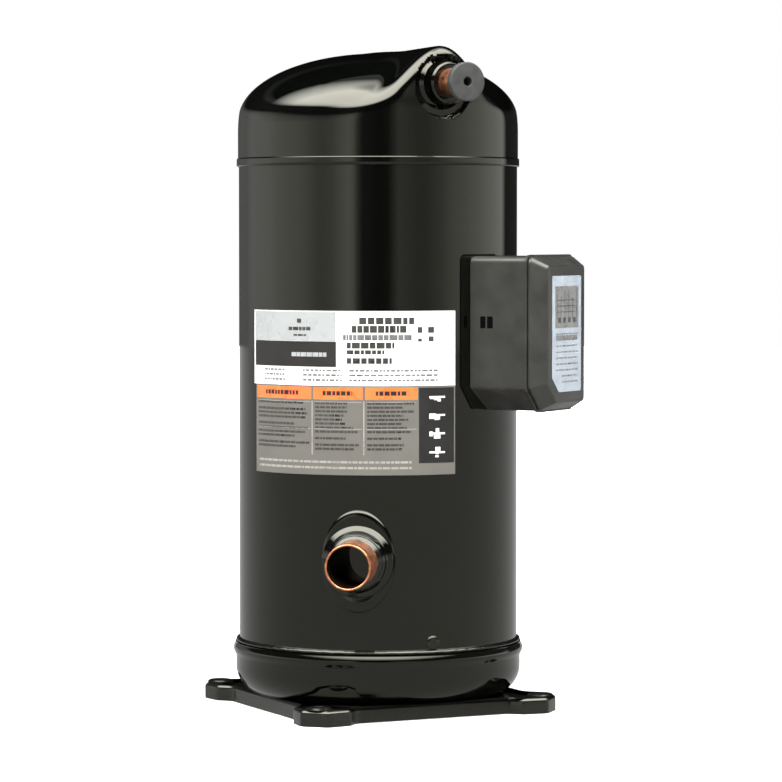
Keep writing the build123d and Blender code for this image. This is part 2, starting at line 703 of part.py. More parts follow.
def fixed_scroll():
    wrap_tip = ORBIT_PLATE_TOP + WRAP_TIP_GAP
    floor = wrap_tip + WRAP_HEIGHT
    scroll = rod(86.0, floor, floor + 13.5) + ring(86.0, 77.5, wrap_tip, floor + 1)
    scroll += prism(wrap_face(), wrap_tip, floor + 0.5)
    scroll -= prism(seal_face(), wrap_tip - 1, wrap_tip + SEAL_DEPTH)
    scroll += ring(50.0, 43.0, floor + 13, 424.0) + rod(25.0, floor + 13, 424.0)
    scroll -= rod(13.0, 404.0, 430.0) + rod(7.0, floor - 1, 430.0, x=0.0, y=0.0)
    for bearing in POST_BEARINGS:
        ear = rod(10.5, POST_TOP + 0.3, floor, x=POST_CIRCLE - 2) + block(78, POST_CIRCLE - 4, -10.5, 10.5,
                                                                       POST_TOP + 0.3, floor)
        scroll += at_bearing(ear & rod(SHELL_BORE - 1.0, 300, 420), bearing)
        scroll -= at_bearing(rod(POST_RADIUS - 0.4, POST_TOP - 1, floor + 1, x=POST_CIRCLE), bearing)
    for bearing in (0, 180):
        scroll -= at_bearing(block(70, 92, -17, 17, wrap_tip + 8, floor - 6), bearing) - rod(76.8, 300, 420)
    return scroll


def fixed_tip_seal():
    wrap_tip = ORBIT_PLATE_TOP + WRAP_TIP_GAP
    return prism(seal_face(), wrap_tip - SEAL_PROUD, wrap_tip + SEAL_DEPTH)


def guide_sleeves():
    sleeve = ring(POST_RADIUS - 0.5, 4.1, POST_TOP, 399.0, x=POST_CIRCLE)
    return one(around(sleeve, POST_BEARINGS))


def guide_bolts():
    """Socket-head bolts through the sleeves."""
    bolt = rod(4.0, 352.0, 400.0, x=POST_CIRCLE) + rod(8.0, 399.0, 400.5, x=POST_CIRCLE)
    socket = prism(Pos(POST_CIRCLE, 0) * RegularPolygon(3.4, 6), 403, 408)
    bolt += rod(6.5, 400.0, 407.0, x=POST_CIRCLE) - socket
    return one(around(bolt, POST_BEARINGS))


def discharge_valve_disc():
    return rod(11.5, 404.05, 406.0)


def discharge_valve_retainer():
    cage = ring(13.0, 8.0, 409.2, 412.0)
    return cage + block(-12.5, 12.5, -1.5, 1.5, 409.2, 411.0) + block(-1.5, 1.5, -12.5, 12.5, 409.2, 411.0)


def floating_seal():
    """The lower ring of the seal, with the lip that meets the partition."""
    body = ring(42.0, 26.0, 414.0, 420.0) + ring(34.0, 29.0, 419.0, PARTITION_BOTTOM - 1.5)
    return body


def seal_spring():
    """A wave spring that lifts the floating seal, as a flat ring."""
    return ring(40.5, 36.5, 411.6, 413.9)


def floating_seal_lips():
    return ring(42.8, 35.0, 420.05, 421.8) + ring(28.6, 25.3, 420.05, 421.8)


def partition_plate():
    """The dished plate between the suction side and the discharge chamber."""
    rim = SHELL_BORE - 0.1
    top = PARTITION_BOTTOM + PARTITION_SHEET
    plate = turned([(22.0, PARTITION_BOTTOM), (62.0, PARTITION_BOTTOM), (88.0, 419.0), (rim, 419.0),
                    (rim, 434.0), (rim - 5, 434.0), (rim - 5, 425.0), (90.0, 425.0), (64.0, top),
                    (22.0, top)])
    return plate - at_bearing(rod(7.0, 410.0, 440.0, x=52.0), 150.0)


def relief_valve():
    """The spring-loaded cartridge that opens from the discharge to the suction side."""
    cartridge = rod(7.0, 425.5, 441.0, x=52.0) + rod(9.5, 433.0, 438.0, x=52.0)
    return at_bearing(cartridge - rod(3.0, 420.0, 430.0, x=52.0), 150.0)


def thermal_disc():
    """The snap disc over a bleed port in the partition, which opens when the gas is too hot."""
    return at_bearing(ring(9.0, 3.0, 433.05, 434.2, x=46.0), 250.0)


# ---- the whole compressor ------------------------------------------------------------------------------
PARTS = {
    "base_plate": base_plate,
    "bottom_cap": bottom_cap,
    "shell_body": shell_body,
    "top_cap": top_cap,
    "suction_fitting": suction_fitting,
    "suction_tube": suction_tube,
    "suction_baffle": suction_baffle,
    "discharge_fitting": discharge_fitting,
    "discharge_tube": discharge_tube,
    "discharge_plug": discharge_plug,
    "terminal_box_body": terminal_box_body,
    "terminal_box_cover": terminal_box_cover,
    "box_label": box_label,
    "terminal_box_gasket": terminal_box_gasket,
    "terminal_fence": terminal_fence,
    "terminal_plug": terminal_plug,
    "terminal_glass": terminal_glass,
    "terminal_pins": terminal_pins,
    "terminal_block": terminal_block,
    "terminal_nuts": terminal_nuts,
    "ground_screw": ground_screw,
    "stator_core": stator_core,
    "motor_windings": motor_windings,
    "motor_protector": motor_protector,
    "lead_connector": lead_connector,
    "motor_leads": motor_leads,
    "rotor_core": rotor_core,
    "rotor_cage": rotor_cage,
    "crankshaft": crankshaft,
    "upper_counterweight": upper_counterweight,
    "lower_counterweight": lower_counterweight,
    "drive_bush": drive_bush,
    "crank_pin_washer": crank_pin_washer,
    "oil_pickup": oil_pickup,
    "main_bearing_housing": main_bearing_housing,
    "main_bearing_bush": main_bearing_bush,
    "lower_bearing_bracket": lower_bearing_bracket,
    "lower_bearing_bush": lower_bearing_bush,
    "lower_thrust_washer": lower_thrust_washer,
    "sump_magnet": sump_magnet,
    "orbiting_scroll": orbiting_scroll,
    "orbiting_tip_seal": orbiting_tip_seal,
    "hub_bearing_bush": hub_bearing_bush,
    "oldham_ring": oldham_ring,
    "fixed_scroll": fixed_scroll,
    "fixed_tip_seal": fixed_tip_seal,
    "guide_sleeves": guide_sleeves,
    "guide_bolts": guide_bolts,
    "discharge_valve_disc": discharge_valve_disc,
    "discharge_valve_retainer": discharge_valve_retainer,
    "floating_seal": floating_seal,
    "floating_seal_lips": floating_seal_lips,
    "seal_spring": seal_spring,
    "partition_plate": partition_plate,
    "relief_valve": relief_valve,
    "thermal_disc": thermal_disc,
}

for name, build in PARTS.items():
    save(name, build())

save("rating_label", label(256.5, 313.5, LABEL_FROM, LABEL_TO))
save("caution_label", label(188.6, 256.2, LABEL_FROM + 1.5, LABEL_TO))
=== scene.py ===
import json
import math
import random

import bmesh
import bpy
import numpy as np
from mathutils import Matrix, Vector


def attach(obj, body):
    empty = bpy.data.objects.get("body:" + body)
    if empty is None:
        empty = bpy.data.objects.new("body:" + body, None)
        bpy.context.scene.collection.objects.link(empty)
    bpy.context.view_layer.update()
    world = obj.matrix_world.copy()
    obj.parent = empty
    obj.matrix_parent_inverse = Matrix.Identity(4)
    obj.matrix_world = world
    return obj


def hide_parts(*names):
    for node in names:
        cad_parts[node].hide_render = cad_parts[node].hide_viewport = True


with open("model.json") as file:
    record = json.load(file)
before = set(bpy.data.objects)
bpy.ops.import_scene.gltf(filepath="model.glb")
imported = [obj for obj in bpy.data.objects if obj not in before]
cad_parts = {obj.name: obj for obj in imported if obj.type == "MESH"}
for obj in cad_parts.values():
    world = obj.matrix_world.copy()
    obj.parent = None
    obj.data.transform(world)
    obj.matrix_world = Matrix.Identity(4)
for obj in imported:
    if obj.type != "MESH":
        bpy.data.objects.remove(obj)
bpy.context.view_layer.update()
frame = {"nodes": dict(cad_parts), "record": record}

# Lengths in this script are metres, and angles degrees. A bearing is seen from above, from -Y towards +X.
MM = 0.001
SHELL_R = 0.1095
SUCTION_BEARING, DISCHARGE_BEARING, BOX_BEARING = -33.5, 2.5, 36.5
CAMERA_BEARING = -25.5
SEED = 4127


# ---- node helpers --------------------------------------------------------------------------------------
def new_material(name):
    mat = bpy.data.materials.new(name)
    mat.use_nodes = True
    nodes = mat.node_tree.nodes
    shader = nodes["Principled BSDF"]
    return mat, nodes, mat.node_tree.links, shader


def colour_ramp(nodes, stops):
    ramp = nodes.new("ShaderNodeValToRGB")
    items = ramp.color_ramp.elements
    items.remove(items[1])
    items[0].position = stops[0][0]
    items[0].color = (*stops[0][1], 1)
    for place, colour in stops[1:]:
        items.new(place).color = (*colour, 1)
    return ramp


def noise(nodes, links, coords, scale, detail=3.0, stretch=(1, 1, 1)):
    mapping = nodes.new("ShaderNodeMapping")
    mapping.inputs["Scale"].default_value = stretch
    links.new(coords.outputs["Object"], mapping.inputs["Vector"])
    node = nodes.new("ShaderNodeTexNoise")
    node.inputs["Scale"].default_value = scale
    node.inputs["Detail"].default_value = detail
    links.new(mapping.outputs["Vector"], node.inputs["Vector"])
    return node


def ranged(nodes, links, source, low, high, start=0.3, end=0.7):
    node = nodes.new("ShaderNodeMapRange")
    node.inputs["From Min"].default_value = start
    node.inputs["From Max"].default_value = end
    node.inputs["To Min"].default_value = low
    node.inputs["To Max"].default_value = high
    links.new(source, node.inputs["Value"])
    return node.outputs["Result"]


def bumped(nodes, links, shader, sources):
    """Chain bumps of (height, strength, distance in metres) into the shader's normal."""
    last = None
    for height, strength, distance in sources:
        bump = nodes.new("ShaderNodeBump")
        bump.inputs["Strength"].default_value = strength
        bump.inputs["Distance"].default_value = distance
        links.new(height, bump.inputs["Height"])
        if last is not None:
            links.new(last, bump.inputs["Normal"])
        last = bump.outputs["Normal"]
    links.new(last, shader.inputs["Normal"])


def finish_of(name, dark, light, rough, metal=0.0, scale=60.0, grain=(900.0, 0.15, 0.00004),
              stretch=(1, 1, 1), tint=None, specular=0.5, transmission=0.0):
    """A surface whose colour wanders between dark and light, with its own roughness spread and grain."""
    mat, nodes, links, shader = new_material(name)
    coords = nodes.new("ShaderNodeTexCoord")
    clouds = noise(nodes, links, coords, scale, 4.0, stretch)
    ramp = colour_ramp(nodes, [(0.3, dark), (0.7, light)])
    links.new(clouds.outputs["Fac"], ramp.inputs["Fac"])
    links.new(ramp.outputs["Color"], shader.inputs["Base Color"])
    links.new(ranged(nodes, links, clouds.outputs["Fac"], rough[0], rough[1]), shader.inputs["Roughness"])
    fine = noise(nodes, links, coords, grain[0], 2.0, stretch)
    bumped(nodes, links, shader, [(fine.outputs["Fac"], grain[1], grain[2])])
    shader.inputs["Metallic"].default_value = metal
    shader.inputs["IOR"].default_value = 1.5
    shader.inputs["Specular IOR Level"].default_value = specular
    shader.inputs["Transmission Weight"].default_value = transmission
    if tint:
        shader.inputs["Specular Tint"].default_value = (*tint, 1)
    return mat


def paint(name, base=(0.0005, 0.0006, 0.0005), dust=0.0):
    """Gloss black paint with faint orange peel, and a little dust as rougher paint all over if asked."""
    mat, nodes, links, shader = new_material(name)
    coords = nodes.new("ShaderNodeTexCoord")
    broad = noise(nodes, links, coords, 9.0, 3.0)
    peel = noise(nodes, links, coords, 330.0, 1.0)
    ramp = colour_ramp(nodes, [(0.35, base), (0.75, tuple(c * 1.9 for c in base))])
    links.new(broad.outputs["Fac"], ramp.inputs["Fac"])
    links.new(ramp.outputs["Color"], shader.inputs["Base Color"])
    rough = ranged(nodes, links, broad.outputs["Fac"], 0.028 + dust, 0.052 + dust)
    links.new(rough, shader.inputs["Roughness"])
    bumped(nodes, links, shader, [(broad.outputs["Fac"], 0.04, 0.002), (peel.outputs["Fac"], 0.10, 0.00006)])
    shader.inputs["IOR"].default_value = 1.5
    shader.inputs["Specular Tint"].default_value = (1.0, 0.985, 0.84, 1)
    return mat


PAINT = paint("gloss_black_paint")
BASE_PAINT = paint("base_black_paint", (0.003, 0.003, 0.0028), 0.1)
WELD = finish_of("painted_weld", (0.0016, 0.0017, 0.0014), (0.004, 0.004, 0.0035), (0.10, 0.2), scale=160.0,
                 grain=(260.0, 0.35, 0.0004), stretch=(1, 1, 0.35), tint=(1.0, 0.985, 0.84))
COPPER = finish_of("copper_tube", (0.46, 0.15, 0.065), (0.78, 0.36, 0.20), (0.24, 0.42), 1.0, 130.0,
                   (1500.0, 0.2, 0.00003), (1, 1, 1))
COPPER_STUB = finish_of("copper_stub", (0.40, 0.12, 0.05), (0.80, 0.36, 0.19), (0.28, 0.46), 1.0, 210.0,
                        (1800.0, 0.25, 0.00004), (1, 1, 1))
# painted shade: a near-black copy of the stub copper, laid on the inside of the bore where shade falls
COPPER_BORE_SHADE = finish_of("copper_bore_painted_shade", (0.012, 0.006, 0.004), (0.05, 0.022, 0.012), (0.45, 0.6), 0.9, 160.0)
STEEL = finish_of("machined_steel", (0.30, 0.30, 0.30), (0.52, 0.52, 0.50), (0.20, 0.38), 1.0, 90.0,
                  (700.0, 0.25, 0.00004), (1, 1, 6))
RUBBER = finish_of("black_rubber", (0.018, 0.018, 0.017), (0.030, 0.030, 0.028), (0.45, 0.62), 0.0, 140.0,
                   (1600.0, 0.3, 0.00006), specular=0.45)
PLASTIC = finish_of("moulded_black_plastic", (0.010, 0.010, 0.0096), (0.016, 0.016, 0.0150), (0.33, 0.44),
                    0.0, 70.0, (1500.0, 0.30, 0.00006), tint=(1.0, 0.99, 0.9))
COVER_PLASTIC = finish_of("cover_black_plastic", (0.012, 0.012, 0.0115), (0.019, 0.019, 0.018), (0.30, 0.42),
                          0.0, 60.0, (1500.0, 0.30, 0.00006), tint=(1.0, 0.99, 0.9))
TERMINAL = finish_of("terminal_moulding", (0.05, 0.045, 0.04), (0.09, 0.08, 0.07), (0.4, 0.55), 0.0, 120.0)
WHITE_PLASTIC = finish_of("white_moulding", (0.70, 0.69, 0.65), (0.80, 0.79, 0.75), (0.35, 0.5), 0.0, 90.0)
GLASS = finish_of("seal_glass", (0.10, 0.16, 0.20), (0.16, 0.24, 0.28), (0.05, 0.15), 0.0, 90.0,
                  transmission=0.2)
IRON = finish_of("cast_iron", (0.10, 0.10, 0.098), (0.17, 0.165, 0.16), (0.5, 0.68), 0.85, 260.0,
                 (620.0, 0.5, 0.0002))
ALUMINIUM = finish_of("cast_aluminium", (0.52, 0.53, 0.54), (0.70, 0.70, 0.70), (0.34, 0.48), 1.0, 120.0,
                      (900.0, 0.3, 0.00008))
LAMINATION = finish_of("lamination_stack", (0.13, 0.14, 0.16), (0.28, 0.29, 0.31), (0.38, 0.55), 0.9, 60.0,
                       (50.0, 0.8, 0.0003), (0.2, 0.2, 40))
WINDING = finish_of("enamelled_winding", (0.32, 0.10, 0.03), (0.60, 0.24, 0.09), (0.3, 0.5), 0.7, 240.0,
                    (520.0, 0.9, 0.0005), (1, 1, 3))
WIRE = finish_of("wire_sleeve", (0.30, 0.02, 0.02), (0.42, 0.04, 0.03), (0.4, 0.55), 0.0, 150.0)
SEAL = finish_of("seal_polymer", (0.10, 0.085, 0.06), (0.17, 0.14, 0.10), (0.35, 0.5), 0.0, 150.0)
BRONZE = finish_of("bearing_bronze", (0.42, 0.26, 0.10), (0.62, 0.42, 0.19), (0.25, 0.42), 1.0, 140.0)
LABEL_WHITE = finish_of("label_white", (0.60, 0.60, 0.585), (0.65, 0.65, 0.635), (0.42, 0.5), 0.0, 40.0,
                        (1100.0, 0.05, 0.00003))
LABEL_GREY = finish_of("label_grey", (0.080, 0.076, 0.066), (0.092, 0.088, 0.076), (0.42, 0.5), 0.0, 40.0,
                       (1100.0, 0.05, 0.00003))
BOX_LABEL = finish_of("box_label_silver", (0.19, 0.215, 0.245), (0.25, 0.28, 0.31), (0.42, 0.5), 0.0, 70.0,
                      (1200.0, 0.1, 0.00003))
INK_PANEL = finish_of("ink_light_grey", (0.235, 0.245, 0.245), (0.26, 0.27, 0.27), (0.24, 0.32), 0.0, 60.0)
INK_BROWN = finish_of("ink_dark_brown", (0.006, 0.0045, 0.0038), (0.009, 0.007, 0.006), (0.42, 0.5), 0.0,
                      60.0)
INK_ORANGE = finish_of("ink_orange", (0.80, 0.105, 0.020), (0.86, 0.13, 0.030), (0.24, 0.32), 0.0, 60.0)
INK_TEXT = finish_of("ink_text_grey", (0.018, 0.017, 0.015), (0.032, 0.030, 0.026), (0.25, 0.35), 0.0, 90.0)
INK_FADED = finish_of("ink_text_faded", (0.075, 0.075, 0.075), (0.12, 0.12, 0.12), (0.25, 0.35), 0.0, 90.0)
INK_BLACK = finish_of("ink_black", (0.003, 0.0027, 0.0024), (0.005, 0.0045, 0.004), (0.42, 0.5), 0.0, 60.0)
INK_LIGHT = finish_of("ink_reversed", (0.17, 0.165, 0.15), (0.22, 0.21, 0.195), (0.25, 0.35), 0.0, 90.0)

# painted shade: a matt near-black finish for patches that stand in for the shade inside openings
SHADOW = finish_of("painted_shade_opening", (0.0006, 0.0006, 0.0006), (0.0012, 0.0012, 0.0012), (0.8, 0.9), 0.0, 60.0,
                   specular=0.03)

SLOT_FINISH = {
    "black_paint": PAINT, "bare_steel": STEEL, "copper": COPPER, "black_rubber": RUBBER,
    "box_plastic": PLASTIC, "terminal_plastic": TERMINAL, "white_plastic": WHITE_PLASTIC, "glass": GLASS,
    "label_white": LABEL_WHITE, "label_grey": LABEL_GREY, "cast_iron": IRON, "aluminium": ALUMINIUM,
    "lamination": LAMINATION, "winding": WINDING, "wire": WIRE, "seal_plastic": SEAL,
    "bearing_bronze": BRONZE,
}
NODE_SLOT = {part["node"]: part["material_slot"] for part in frame["record"]["subparts"]}
for node_name, obj in frame["nodes"].items():
    obj.data.materials.clear()
    obj.data.materials.append(SLOT_FINISH.get(NODE_SLOT.get(node_name), STEEL))


# ---- mesh helpers --------------------------------------------------------------------------------------
def piece(name, verts, faces, material, body, slot_name, nodes=(), smooth=32.0, place=None):
    """A mesh object from points and faces, smooth below the given angle, riding on a body."""
    mesh = bpy.data.meshes.new(name)
    mesh.from_pydata([tuple(map(float, v)) for v in verts], [], [tuple(map(int, f)) for f in faces])
    if place is not None:
        mesh.transform(place)
    work = bmesh.new()
    work.from_mesh(mesh)
    bmesh.ops.remove_doubles(work, verts=work.verts, dist=1e-6)
    bmesh.ops.recalc_face_normals(work, faces=work.faces)
    limit = math.radians(smooth)
    for face in work.faces:
        face.smooth = True
    for edge in work.edges:
        edge.smooth = len(edge.link_faces) == 2 and edge.calc_face_angle(0.0) < limit
    work.to_mesh(mesh)
    work.free()
    mesh.materials.append(material)
    obj = bpy.data.objects.new(name, mesh)
    bpy.context.scene.collection.objects.link(obj)
    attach(obj, body)
    if nodes:
        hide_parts(*nodes)
    return obj


def rounded(points, radius, steps=5):
    """A closed outline with each corner rounded; radius is one number or one for each corner."""
    points = [np.array(p, float) for p in points]
    radii = [radius] * len(points) if isinstance(radius, (int, float)) else radius
    out = []
    for i, corner in enumerate(points):
        before, after = points[i - 1] - corner, points[(i + 1) % len(points)] - corner
        one, two = np.linalg.norm(before), np.linalg.norm(after)
        if radii[i] <= 0 or min(one, two) < 1e-9:
            out.append(corner)
            continue
        before, after = before / one, after / two
        half = math.acos(max(-1.0, min(1.0, float(before @ after)))) / 2
        reach = min(radii[i] / math.tan(half), one * 0.49, two * 0.49)
        start, end = corner + before * reach, corner + after * reach
        for k in range(steps + 1):
            t = k / steps
            out.append((1 - t) ** 2 * start + 2 * t * (1 - t) * corner + t * t * end)
    return out


def lathe(outline, count=96, closed=True):
    """Points and faces of an outline of (radius, height) turned about Z."""
    verts, faces = [], []
    size = len(outline)
    for k in range(count):
        a = 2 * math.pi * k / count
        verts += [(r * math.cos(a), r * math.sin(a), h) for r, h in outline]
    for k in range(count):
        n = (k + 1) % count
        for i in range(size if closed else size - 1):
            j = (i + 1) % size
            quad = [k * size + i, k * size + j, n * size + j, n * size + i]
            if outline[i][0] < 1e-9 and outline[j][0] < 1e-9:
                continue
            faces.append(quad)
    return verts, faces


def along(bearing, x=0.0, y=0.0, z=0.0):
    """Places a shape built along +X at its bearing."""
    return Matrix.Rotation(math.radians(bearing - 90), 4, "Z") @ Matrix.Translation((x, y, z))


def pipe_place(bearing, x, z):
    """Places a lathed shape so that its height runs outwards at the bearing."""
    return along(bearing, x, 0, z) @ Matrix.Rotation(math.radians(90), 4, "Y")


def merged(shapes):
    verts, faces = [], []
    for more_verts, more_faces in shapes:
        shift = len(verts)
        verts += list(more_verts)
        faces += [[i + shift for i in f] for f in more_faces]
    return verts, faces


def round_over(edge, high, steps):
    """(inset, z) of a rounded upper edge that ends at height high."""
    turns = [math.pi / 2 * k / steps for k in range(1, steps + 1)]
    return [(edge * (1 - math.cos(a)), high - edge + edge * math.sin(a)) for a in turns]


def slab(outline, low, high, edge=0.0, steps=4):
    """A flat outline in XY raised from low to high, with its upper edge rounded."""
    count = len(outline)
    rings = [(0.0, low), (0.0, high - edge)]
    if edge:
        rings += round_over(edge, high, steps)
    verts = []
    for inset, z in rings:
        verts += [(x, y, z) for x, y in inset_outline(outline, inset)]
    faces = []
    for r in range(len(rings) - 1):
        for i in range(count):
            j = (i + 1) % count
            faces.append([r * count + i, r * count + j, (r + 1) * count + j, (r + 1) * count + i])
    faces.append(list(range(count))[::-1])
    faces.append([(len(rings) - 1) * count + i for i in range(count)])
    return verts, faces


def inset_outline(outline, amount):
    """The outline moved inwards by amount; it runs anticlockwise."""
    if amount == 0:
        return [tuple(p) for p in outline]
    pts = np.array(outline, float)
    ahead, behind = np.roll(pts, -1, 0) - pts, pts - np.roll(pts, 1, 0)
    ahead /= np.linalg.norm(ahead, axis=1)[:, None] + 1e-12
    behind /= np.linalg.norm(behind, axis=1)[:, None] + 1e-12
    normal = np.stack([-(ahead + behind)[:, 1], (ahead + behind)[:, 0]], 1)
    normal /= np.linalg.norm(normal, axis=1)[:, None] + 1e-12
    scale = np.clip((normal * np.stack([-ahead[:, 1], ahead[:, 0]], 1)).sum(1), 0.4, 1)
    return [tuple(p) for p in pts + normal * (amount / scale)[:, None]]


def circle(radius, count, x=0.0, y=0.0):
    return [(x + radius * math.cos(2 * math.pi * k / count), y + radius * math.sin(2 * math.pi * k / count))
            for k in range(count)]


def filled(loops, z):
    """A flat face with holes at height z: the first loop is its outline."""
    work = bmesh.new()
    edges = []
    for loop in loops:
        ring = [work.verts.new((x, y, z)) for x, y in loop]
        edges += [work.edges.new((ring[i], ring[(i + 1) % len(ring)])) for i in range(len(ring))]
    bmesh.ops.triangle_fill(work, edges=edges, use_beauty=True)
    work.verts.index_update()
    verts = [tuple(v.co) for v in work.verts]
    faces = [[v.index for v in f.verts] for f in work.faces]
    work.free()
    return verts, faces


def wall(outer, inner):
    """A strip of faces between two rings of 3-D points of the same count."""
    count = len(outer)
    faces = [[i, (i + 1) % count, count + (i + 1) % count, count + i] for i in range(count)]
    return list(outer) + list(inner), faces


# ---- base plate ----------------------------------------------------------------------------------------
def plate_outline():
    half, tip, shoulder, wide, narrow = 0.098, 0.144, 0.128, 0.0235, 0.011
    corners, radii = [], []
    for k in range(4):
        a = math.radians(45 + 90 * k)
        c, s = math.cos(a), math.sin(a)
        meet = half * math.sqrt(2) - wide
        for x, y, r in [(meet, -wide, 0.011), (shoulder, -wide, 0.007), (tip, -narrow, 0.005),
                        (tip, narrow, 0.005), (shoulder, wide, 0.007), (meet, wide, 0.011)]:
            corners.append((x * c - y * s, x * s + y * c))
            radii.append(r)
    return [tuple(p) for p in rounded(corners, radii, 6)]


def build_base():
    outline = plate_outline()
    high, sheet, edge = 0.0124, 0.0035, 0.0032
    bolt = 0.1905 / 2
    centres = [(x, y) for x in (-bolt, bolt) for y in (-bolt, bolt)]
    shapes = []
    rings = [(0.0, 0.0), (0.0, high - edge)] + round_over(edge, high, 5)
    loops = [[(x, y, z) for x, y in inset_outline(outline, inset)] for inset, z in rings]
    for a, b in zip(loops, loops[1:]):
        shapes.append(wall(a, b))
    top = [(x, y) for x, y, z in loops[-1]]
    shapes.append(filled([top, circle(0.088, 96)] + [circle(0.0108, 32, x, y) for x, y in centres], high))
    inner = inset_outline(outline, sheet)
    under = high - sheet
    shapes.append(wall([(x, y, 0.0) for x, y in outline], [(x, y, 0.0) for x, y in inner]))
    shapes.append(wall([(x, y, 0.0) for x, y in inner], [(x, y, under) for x, y in inner]))
    shapes.append(filled([inner, circle(0.088, 96)] + [circle(0.0043, 32, x, y) for x, y in centres], under))
    middle = circle(0.088, 96)
    shapes.append(wall([(x, y, under) for x, y in middle], [(x, y, high) for x, y in middle]))
    tab = [(0.0108, high), (0.0100, high + 0.0002), (0.0092, high + 0.0011), (0.0084, high + 0.0016),
           (0.0052, high + 0.0016), (0.0045, high + 0.0012), (0.0043, high + 0.0006), (0.0043, under)]
    for x, y in centres:
        verts, faces = lathe(tab, 32, closed=False)
        shapes.append(([(vx + x, vy + y, vz) for vx, vy, vz in verts], faces))
    verts, faces = merged(shapes)
    piece("base_stamping", verts, faces, BASE_PAINT, "shell", "black_paint", ["base_plate"], 40)


# ---- shell ---------------------------------------------------------------------------------------------
def build_shell():
    cup = [(0, 10), (90.3, 10)]
    cup += [(90.3 + 22 * math.sin(math.pi / 2 * k / 14), 32 - 22 * math.cos(math.pi / 2 * k / 14))
            for k in range(1, 15)]
    cup += [(112.3, 40.2), (112.9, 42.0), (113.9, 43.6), (114.4, 45.6), (114.1, 48.0), (113.0, 50.0),
            (112.7, 51.2)]
    cup += [(109.2, 51.2), (109.2, 33), (87.3, 13), (0, 13)]
    verts, faces = lathe([(r * MM, z * MM) for r, z in cup], 256)
    piece("lower_cap", verts, faces, PAINT, "shell", "black_paint", ["bottom_cap"], 40)

    tube = [(109.5, 50.0), (109.5, 425.5), (106.3, 425.5), (106.3, 50.0)]
    verts, faces = lathe([(r * MM, z * MM) for r, z in tube], 256)
    piece("shell_tube", verts, faces, PAINT, "shell", "black_paint", ["shell_body"], 40)

    rng = random.Random(SEED)
    waves = [(rng.randint(5, 90), rng.uniform(0, 6.28), rng.uniform(0.02, 0.09)) for _ in range(12)]

    def bead(low, high, proud, foot, count=420):
        verts, faces = [], []
        rows = 9
        for k in range(count):
            a = 2 * math.pi * k / count
            wob = sum(amp * math.sin(n * a + ph) for n, ph, amp in waves)
            ripple = 0.10 * math.sin(a * 150)
            for i in range(rows):
                t = i / (rows - 1)
                swell = math.sin(math.pi * t) ** 0.7
                r = foot + (proud - foot) * swell + (wob * 0.35 + ripple) * swell
                z = low + (high - low) * t + wob * 0.6
                verts.append((r * MM * math.cos(a), r * MM * math.sin(a), z * MM))
        for k in range(count):
            n = (k + 1) % count
            for i in range(rows - 1):
                faces.append([k * rows + i, k * rows + i + 1, n * rows + i + 1, n * rows + i])
        return verts, faces

    verts, faces = bead(50.6, 55.0, 112.2, 109.3)
    piece("lower_weld", verts, faces, WELD, "shell", "black_paint", (), 60)
    for k, bearing in enumerate((-3, 117, 237)):
        spot = rounded([(0, 0.0009), (0.0032, 0.0012), (0.0052, 0.0005), (0.0056, -0.0008), (0, -0.0008)],
                       [0, 0.001, 0.001, 0, 0], 3)
        verts, faces = lathe([tuple(p) for p in spot], 32)
        piece(f"plug_weld_{k}", verts, faces, WELD, "shell", "black_paint", (), 50,
              pipe_place(bearing, SHELL_R + 0.0001, 0.060))


# ---- top cap -------------------------------------------------------------------------------------------
def smooth_union(a, b, k):
    """Union of two fields, blended over k mm."""
    h = np.clip(0.5 + 0.5 * (b - a) / k, 0, 1)
    return b + (a - b) * h - k * h * (1 - h)


def smooth_cut(a, b, k):
    """Intersection of two fields, rounded over k mm."""
    return -smooth_union(-a, -b, k)


# the cap in mm: an ellipsoid on a cylinder, a bell-shaped hood, and a round flat cut into the hood
DOME_RADIUS, DOME_START, DOME_RISE = 109.8, 461.5, 52.0
HOOD_FOOT, HOOD_RISE, HOOD_SPREAD, HOOD_TILT = 462.0, 53.0, 31.0, 1.7
FLAT_FACE, FLAT_RADIUS, FLAT_Z = 103.0, 24.0, 484.0
CAP_BOTTOM, CAP_RAYS_FROM = 424.5, 440.0


def cap_field(x, y, z):
    """Rough distance outside the cap, in mm."""
    radial = np.hypot(x, y)
    up = np.maximum(z - DOME_START, 0) / DOME_RISE
    level = np.sqrt((radial / DOME_RADIUS) ** 2 + up**2)
    slope = np.sqrt((radial / DOME_RADIUS**2) ** 2 + (up / DOME_RISE) ** 2) / np.maximum(level, 1e-6)
    dome = (level - 1) / np.maximum(slope, 1e-6)
    t = math.radians(DISCHARGE_BEARING)
    d, across = x * math.sin(t) - y * math.cos(t), x * math.cos(t) + y * math.sin(t)
    fade = np.clip((d + 70) / 70, 0, 1)
    fade = fade * fade * (3 - 2 * fade)
    swell = HOOD_RISE * np.exp(-((across / HOOD_SPREAD) ** 2) / 2)
    crest = HOOD_FOOT + swell * fade + (d - 90) * math.tan(math.radians(HOOD_TILT)) * fade
    steep = swell * np.abs(across) / HOOD_SPREAD**2
    bell = (z - crest) / np.sqrt(1 + steep**2)
    side = radial - DOME_RADIUS
    hood = smooth_cut(bell, side, 11.0)
    body = smooth_union(dome, hood, 6.0)
    body = smooth_cut(body, side - 0.5, 2.0)
    inside = FLAT_RADIUS - np.hypot(across, z - FLAT_Z)
    return np.maximum(body, smooth_union(inside, d - FLAT_FACE, 1.5))


